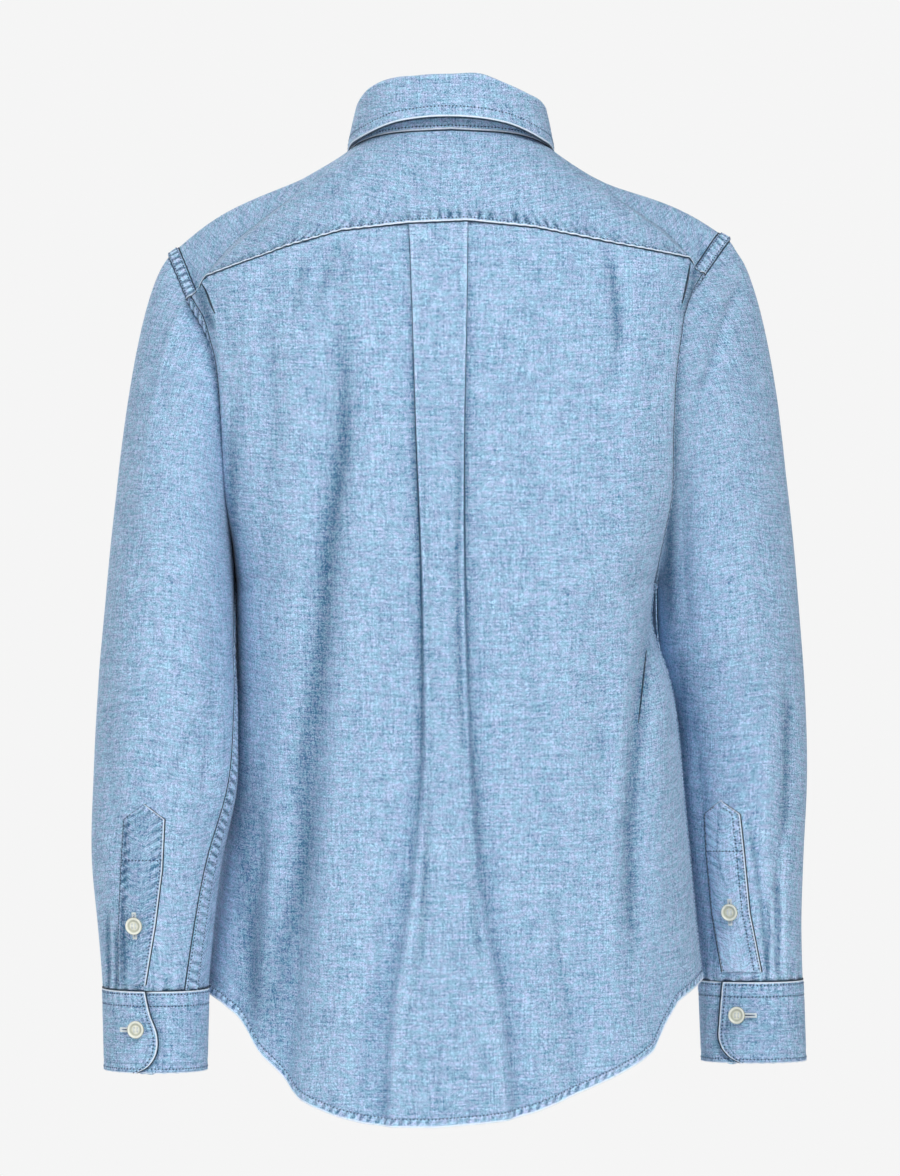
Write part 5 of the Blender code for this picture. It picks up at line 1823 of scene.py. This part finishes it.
def body_nets():
    return back_net(), front_net(True), front_net(False)


def yoke_seam():
    """The lines in from the yoke's back seam."""
    return edge_lines(yoke_net(), "bottom", YOKE_SHOULDER_COLUMNS, -YOKE_SHOULDER_COLUMNS)


@functools.cache
def fells():
    """The nets of the felled seams, by name, as ply strips on the nets that they lie on."""
    over = YOKE_SHOULDER_COLUMNS + 1
    shoulders = [edge_lines(yoke_net(), "bottom", *part) for part in ((0, over), (-over, None))]
    fronts = [edge_lines(front_net(left), "last", 0, UNDERARM_ROW + 1) for _, left in SIDES]
    return {
        "armholes": [
            *(ply(lines, *FELL) for lines in shoulders),
            *(ply(*back_strip(edge), FELL[2]) for edge in ENDS),
            *(ply(lines, *FELL) for lines in fronts),
        ],
        "sides": [ply(edge_lines(back_net(), edge, UNDERARM_ROW), *SIDE_FELL) for edge in ENDS],
        "underarms": [
            ply(edge_lines(sleeve_net(left), "first"), *SLEEVE_FELL[side]) for side, left in SIDES
        ],
        "hems": [ply(edge_lines(net, "bottom"), *HEM) for net in body_nets()],
    }


@functools.cache
def folded_edges():
    """The nets of the worn folds along the seams."""
    lines = [over_fell(yoke_seam())]
    lines += [edge_lines(yoke_net(), edge) for edge in ENDS]
    lines += [edge_lines(collar_net(), edge) for edge in ("bottom", *ENDS)]
    lines += [edge_lines(band_net(), "bottom")]
    lines += [edge_lines(placket_net(), edge) for edge in ENDS]
    lines += [edge_lines(raised(net, FELL[2]), "bottom") for net in body_nets()]
    for side, left in SIDES:
        lines += [edge_lines(cuff_net(left), edge) for edge in ("top", "bottom", "first")]
        lines += [edge_lines(sleeve_placket_net(left), edge) for edge in PLACKET_FOLDS[side]]
    return [cord_edge(found, -0.1, EDGE_ROLL, EDGE_RISE) for found in lines]


@functools.cache
def crevices():
    """The nets of the dark lines of painted shadow beside the seams and in the folds by the armholes."""
    over = YOKE_SHOULDER_COLUMNS + 1
    made = [
        painted_shadow_line(over_fell(yoke_seam()), *CREVICES["yoke"]),
        painted_shadow_line(edge_lines(yoke_net(), "top"), *CREVICES["neck"]),
        beside(edge_lines(yoke_net(), "bottom", 0, over), FELL[1]),
        beside(edge_lines(yoke_net(), "bottom", -over, None), FELL[1]),
    ]
    made += [painted_shadow_line(edge_lines(collar_net(), edge), *CREVICES["collar"]) for edge in ("bottom", *ENDS)]
    made += [painted_shadow_line(edge_lines(placket_net(), edge), *CREVICES["placket"]) for edge in ENDS]
    for edge in ENDS:
        lines, _, end = back_strip(edge)
        made.append(beside(lines, end))
    tree = surface(back_net())
    made += [crest_line(tree, path, width) for path, width in CREST_LINES]
    for _, left in SIDES:
        made.append(beside(edge_lines(front_net(left), "last", 0, UNDERARM_ROW + 1), FELL[1], 1.0))
    for side, left in SIDES:
        placket = sleeve_placket_net(left)
        made += [painted_shadow_line(edge_lines(cuff_net(left), edge), *CREVICES["cuff"]) for edge in ("top", "first")]
        made += [
            painted_shadow_line(edge_lines(placket, edge), *CREVICES["sleeve_placket"]) for edge in PLACKET_FOLDS[side]
        ]
        made.append(painted_shadow_line(edge_lines(sleeve_net(left), "top"), *CREVICES["armhole"]))
        made.append(beside(edge_lines(sleeve_net(left), "first"), SLEEVE_FELL[side][1]))
    return made


@functools.cache
def stitch_lines():
    """Every row of stitches, as a path of points and normals."""
    strips = fells()
    rows = []
    for name in ("armholes", "underarms", "sides"):
        for net in strips[name]:
            rows += [net[:, 2], net[:, -3]]
    rows += [inside(net, lengths(net)[:, -1].mean() - HEM_ROW) for net in strips["hems"]]
    rows += [inside(yoke_seam(), YOKE_ROWS_SEWN[0])]
    rows += [inside(edge_lines(yoke_net(), edge), YOKE_ROWS_SEWN[1]) for edge in ENDS]
    rows += [inside(edge_lines(collar_net(), "bottom", 8, -8), COLLAR_ROW)]
    rows += [inside(edge_lines(collar_net(), edge, ROLL_ROWS, -6), COLLAR_ROW) for edge in ENDS]
    rows += [inside(edge_lines(band_net(), "bottom"), BAND_ROW)]
    rows += [inside(edge_lines(placket_net(), edge), PLACKET_ROW) for edge in ENDS]
    for side, left in SIDES:
        net = cuff_net(left)
        rows += [inside(edge_lines(net, "top"), row) for row in CUFF_ROWS_SEWN]
        rows += [inside(edge_lines(net, "bottom"), CUFF_FOOT_ROW)]
        rows += [inside(edge_lines(net, "first"), CUFF_END_ROW)]
        net = sleeve_placket_net(left)
        rows += [inside(edge_lines(net, edge, 3), row) for edge, row in PLACKET_ROWS[side]]
        top, foot = SLEEVE_PLACKET[side][0][0], SLEEVE_PLACKET[side][-1][0]
        rows += [net[:, int((PLACKET_BAR[side] - top) / (foot - top) * SLEEVE_PLACKET_ROWS)]]
    return rows


class SHIRT_OT_seams(bpy.types.Operator):
    """Makes the felled seams, the hem and the worn folds of the edges"""

    bl_idname = "shirt.seams"
    bl_label = "Seams"

    def execute(self, context):
        for name, nets in fells().items():
            strength = HEM_TONE if name == "hems" else 1.0
            # The rungs are painted light and shade on the strips' puckers.
            sewn(f"{name}_felled", nets, STRIP_WALL, tones=[strength * rung_tone(net) for net in nets])
        sewn("worn_edges", folded_edges(), STRIP_WALL, "edge")
        # The crevices are lines of painted shadow.
        sewn("crevices", crevices(), CREVICE_WALL, "crevice")
        return {"FINISHED"}


class SHIRT_OT_stitching(bpy.types.Operator):
    """Sews the rows of stitches and their needle holes, dark beads of painted shadow"""

    bl_idname = "shirt.stitching"
    bl_label = "Stitching"

    def execute(self, context):
        sewing = context.scene.shirt_sewing
        pitch = sewing.pitch / MM
        rows = [resample(row, pitch / 2) for row in stitch_lines()]
        threads = [spots(row, pitch) for row in rows]
        holes = [spots(row, pitch, 1.0) for row in rows]
        size = (sewing.length / MM, sewing.thickness / MM, sewing.thickness / MM)
        strew("threads", STITCH_FACES, threads, size, finishes()["thread"], STITCH_LIFT)
        # The needle holes are dark beads of painted shadow between the stitches.
        size = (sewing.hole / MM, sewing.hole / MM, HOLE_DEPTH)
        strew("needle_holes", HOLE_FACES, holes, size, finishes()["hole"])
        return {"FINISHED"}


def node_place(node):
    """The middle of a button's solid and the way that it faces, in millimetres."""
    found = np.array([vertex.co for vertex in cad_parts[node].data.vertices]) / MM
    middle = (found.min(axis=0) + found.max(axis=0)) / 2
    centred = found - found.mean(axis=0)
    facing = np.linalg.svd(centred, full_matrices=False)[2][2]
    outward = np.array((0.0, 1.0 if middle[1] > 0 or "cuff" in node or "sleeve" in node else -1.0, 0.0))
    return middle, facing * np.sign(facing @ outward)


def button_mesh(settings):
    """A turned button with a raised rim, a dished ring and four holes."""
    made = bmesh.new()
    profile = [(share * settings.radius, 0.0, rise * settings.height) for share, rise in BUTTON_PROFILE]
    dots = [made.verts.new(place) for place in profile]
    edges = [made.edges.new(pair) for pair in zip(dots, dots[1:])]
    bmesh.ops.spin(
        made, geom=dots + edges, axis=(0, 0, 1), steps=settings.steps, angle=math.tau, use_merge=True
    )
    bmesh.ops.remove_doubles(made, verts=made.verts[:], dist=1e-6)
    bmesh.ops.recalc_face_normals(made, faces=made.faces[:])
    disc = blank("button_disc", made)
    holes = bmesh.new()
    radius = BUTTON_HOLE * MM
    for turn in range(4):
        angle = math.tau * (turn + 0.5) / 4
        way = Vector((math.cos(angle), math.sin(angle), 0)) * BUTTON_HOLE_OFFSET * MM
        bmesh.ops.create_cone(
            holes, cap_ends=True, segments=BUTTON_HOLE_SIDES, radius1=radius, radius2=radius,
            depth=4 * settings.height, matrix=Matrix.Translation(way),
        )
    cutter = blank("button_holes", holes)
    cut = disc.modifiers.new("holes", "BOOLEAN")
    cut.operation = "DIFFERENCE"
    cut.object = cutter
    bpy.context.view_layer.update()
    mesh = bpy.data.meshes.new_from_object(disc.evaluated_get(bpy.context.evaluated_depsgraph_get()))
    bpy.data.objects.remove(disc)
    bpy.data.objects.remove(cutter)
    # Painted light and shade by the share of the radius.
    ring = [line(BUTTON_RINGS, 1, vertex.co.xy.length / settings.radius) for vertex in mesh.vertices]
    mesh.attributes.new("ring", "FLOAT", "POINT").data.foreach_set("value", np.array(ring, np.float32))
    return mesh


def blank(name, made):
    mesh = bpy.data.meshes.new(name)
    made.to_mesh(mesh)
    made.free()
    found = bpy.data.objects.new(name, mesh)
    bpy.context.collection.objects.link(found)
    return found


def button_nodes():
    return [name for name in sorted(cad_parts) if "button" in name]


class SHIRT_OT_buttons(bpy.types.Operator):
    """Turns the buttons and sews them on"""

    bl_idname = "shirt.buttons"
    bl_label = "Buttons"

    def execute(self, context):
        settings = context.scene.shirt_buttons
        disc = button_mesh(settings)
        threads = []
        for node in button_nodes():
            middle, facing = node_place(node)
            turn = Vector(facing).to_track_quat("Z", "Y").to_matrix().to_4x4()
            foot = middle - facing * settings.height / MM / 2
            mesh = disc.copy()
            mesh.name = f"{node}_disc"
            mesh.transform(Matrix.Translation(Vector(foot) * MM) @ turn)
            made = place_mesh(f"{node}_disc", mesh, finishes()["button"])
            mesh.set_sharp_from_angle(angle=BUTTON_SHARP_ANGLE)
            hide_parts(node)
            threads.append(cross_threads(foot, np.array(turn.to_3x3()), settings))
        made = strew("button_threads", KNOT_FACES, threads, BUTTON_THREAD, finishes()["buttonhole"])
        return {"FINISHED"}


def cross_threads(foot, turn, settings):
    """Two short bars of thread through a button's holes."""
    offset = BUTTON_HOLE_OFFSET * math.sqrt(0.5)
    rise = settings.height / MM * BUTTON_PROFILE[0][1] + 0.1
    middles = [foot + turn @ np.array((side * offset, 0.0, rise)) for side in (-1, 1)]
    return np.array(middles), np.array([turn[:, 1]] * 2), np.array([turn[:, 2]] * 2)


def ring_of_thread(node, shift, length, upright):
    """The bars of thread round a buttonhole, and its slot, a dark bead of painted shadow."""
    middle, facing = node_place(node)
    up = np.array((0.0, 0.0, 1.0))
    up = unit(up - facing * (facing @ up))
    way = up if upright else np.cross(facing, up)
    across = np.cross(facing, way)
    middle = middle + way * shift - facing * SLOT_SINK
    steps = np.arange(-length / 2, length / 2 + 0.1, BAR_STEP)
    bars = [middle + way * step + across * side * BAR_OFFSET for side in (-1, 1) for step in steps]
    ways = [across] * len(bars)
    for end in (-1, 1):
        for side in np.arange(-1.1, 1.2, 0.55):
            bars.append(middle + way * (length / 2 + 0.5) * end + across * side)
            ways.append(way)
    ring = np.array(bars), np.array(ways), np.array([facing] * len(bars))
    slot = middle[None], way[None], facing[None]
    return ring, slot


class SHIRT_OT_buttonholes(bpy.types.Operator):
    """Works the buttonholes"""

    bl_idname = "shirt.buttonholes"
    bl_label = "Buttonholes"

    def execute(self, context):
        made = [ring_of_thread(*row) for row in BUTTONHOLES]
        rings = [ring for ring, _ in made]
        slots = [slot for _, slot in made]
        strew("buttonhole_threads", BAR_FACES, rings, BAR_THREAD, finishes()["buttonhole"])
        # The slots are dark beads of painted shadow.
        strew("buttonhole_slots", KNOT_FACES, slots, SLOT_SIZE, finishes()["slot"])
        return {"FINISHED"}


def area_light(name, place, size, power):
    """A soft white light that points at the shirt's middle."""
    light = bpy.data.lights.new(name, "AREA")
    light.shape = "DISK"
    light.size = size
    light.energy = power
    made = bpy.data.objects.new(name, light)
    made.location = place
    made.visible_camera = False
    made.rotation_euler = (Vector(MIDDLE) - Vector(place)).to_track_quat("-Z", "Y").to_euler()
    bpy.context.collection.objects.link(made)
    return made


class SHIRT_OT_stage(bpy.types.Operator):
    """Sets the floor, the backdrop, the lights and the camera"""

    bl_idname = "shirt.stage"
    bl_label = "Stage"

    def execute(self, context):
        scene = context.scene
        settings = scene.shirt_stage
        scene.view_settings.view_transform = "Standard"
        scene.view_settings.look = "None"
        ground = bmesh.new()
        bmesh.ops.create_circle(ground, cap_ends=True, segments=64, radius=FLOOR_RADIUS)
        bmesh.ops.translate(ground, verts=ground.verts[:], vec=(0, 0, FLOOR_HEIGHT))
        floor = blank("floor", ground)
        floor.data.materials.append(lit("pale_floor", FLOOR_COLOUR, settings.floor_glow))
        ball = bmesh.new()
        bmesh.ops.create_uvsphere(ball, u_segments=48, v_segments=24, radius=BACKDROP_RADIUS)
        bmesh.ops.reverse_faces(ball, faces=ball.faces[:])
        backdrop = blank("backdrop", ball)
        backdrop.data.materials.append(glowing("pale_backdrop", BACKDROP_COLOUR))
        for kind in ("diffuse", "glossy", "transmission", "shadow"):
            setattr(backdrop, f"visible_{kind}", False)
        world = scene.world or bpy.data.worlds.new("studio")
        scene.world = world
        world.use_nodes = True
        sky = world.node_tree.nodes["Background"]
        sky.inputs["Color"].default_value = AMBIENT_COLOUR
        sky.inputs["Strength"].default_value = settings.ambient
        lights = [
            area_light("key", KEY_PLACE, KEY_SIZE, settings.key),
            area_light("fill", FILL_PLACE, FILL_SIZE, settings.fill),
            area_light("front_fill", FRONT_FILL_PLACE, FILL_SIZE, settings.key),
        ]
        lens = bpy.data.cameras.new("camera")
        lens.sensor_width = SENSOR_WIDTH
        lens.lens = SENSOR_WIDTH * settings.distance / settings.frame_height
        lens.clip_end = LENS_REACH
        camera = bpy.data.objects.new("camera", lens)
        camera.location = Vector(MIDDLE) + Vector((0, settings.distance, 0))
        camera.rotation_euler = (math.pi / 2, 0, math.pi)
        context.collection.objects.link(camera)
        scene.camera = camera
        return {"FINISHED"}


def lit(name, colour, glow):
    """A matt surface with a little light of its own."""
    made = plain(name, colour, 0.9)
    surface = made.node_tree.nodes["Principled BSDF"]
    surface.inputs["Emission Color"].default_value = colour
    surface.inputs["Emission Strength"].default_value = glow
    return made


def glowing(name, colour):
    made = bpy.data.materials.new(name)
    made.use_nodes = True
    tree = made.node_tree
    tree.nodes.remove(tree.nodes["Principled BSDF"])
    glow = add_node(tree, "ShaderNodeEmission")
    glow.inputs["Color"].default_value = colour
    feed(tree, tree.nodes["Material Output"].inputs["Surface"], glow.outputs[0])
    return made


STEPS = (
    SHIRT_OT_back,
    SHIRT_OT_yoke,
    SHIRT_OT_fronts,
    SHIRT_OT_sleeves,
    SHIRT_OT_cuffs,
    SHIRT_OT_collar,
    SHIRT_OT_seams,
    SHIRT_OT_stitching,
    SHIRT_OT_buttonholes,
    SHIRT_OT_buttons,
    SHIRT_OT_stage,
)
GROUPS = {
    "shirt_cloth": ShirtClothSettings,
    "shirt_colours": ShirtColourSettings,
    "shirt_sewing": ShirtSewingSettings,
    "shirt_buttons": ShirtButtonSettings,
    "shirt_stage": ShirtStageSettings,
}


class SHIRT_PT_panel(bpy.types.Panel):
    """Lists the steps that make the shirt"""

    bl_label = "Shirt"
    bl_idname = "SHIRT_PT_panel"
    bl_space_type = "VIEW_3D"
    bl_region_type = "UI"
    bl_category = "Shirt"

    def draw(self, context):
        for name in GROUPS:
            box = self.layout.box()
            group = getattr(context.scene, name)
            for field in group.bl_rna.properties.keys():
                if field not in ("rna_type", "name"):
                    box.prop(group, field)
        for step in STEPS:
            self.layout.operator(step.bl_idname)


CLASSES = (*GROUPS.values(), *STEPS, SHIRT_PT_panel)


def register():
    for found in CLASSES:
        bpy.utils.register_class(found)
    for name, group in GROUPS.items():
        setattr(bpy.types.Scene, name, bpy.props.PointerProperty(type=group))


def unregister():
    for name in GROUPS:
        delattr(bpy.types.Scene, name)
    for found in reversed(CLASSES):
        bpy.utils.unregister_class(found)


def main():
    register()
    for step in STEPS:
        area, name = step.bl_idname.split(".")
        getattr(getattr(bpy.ops, area), name)()


if __name__ == "__main__":
    main()
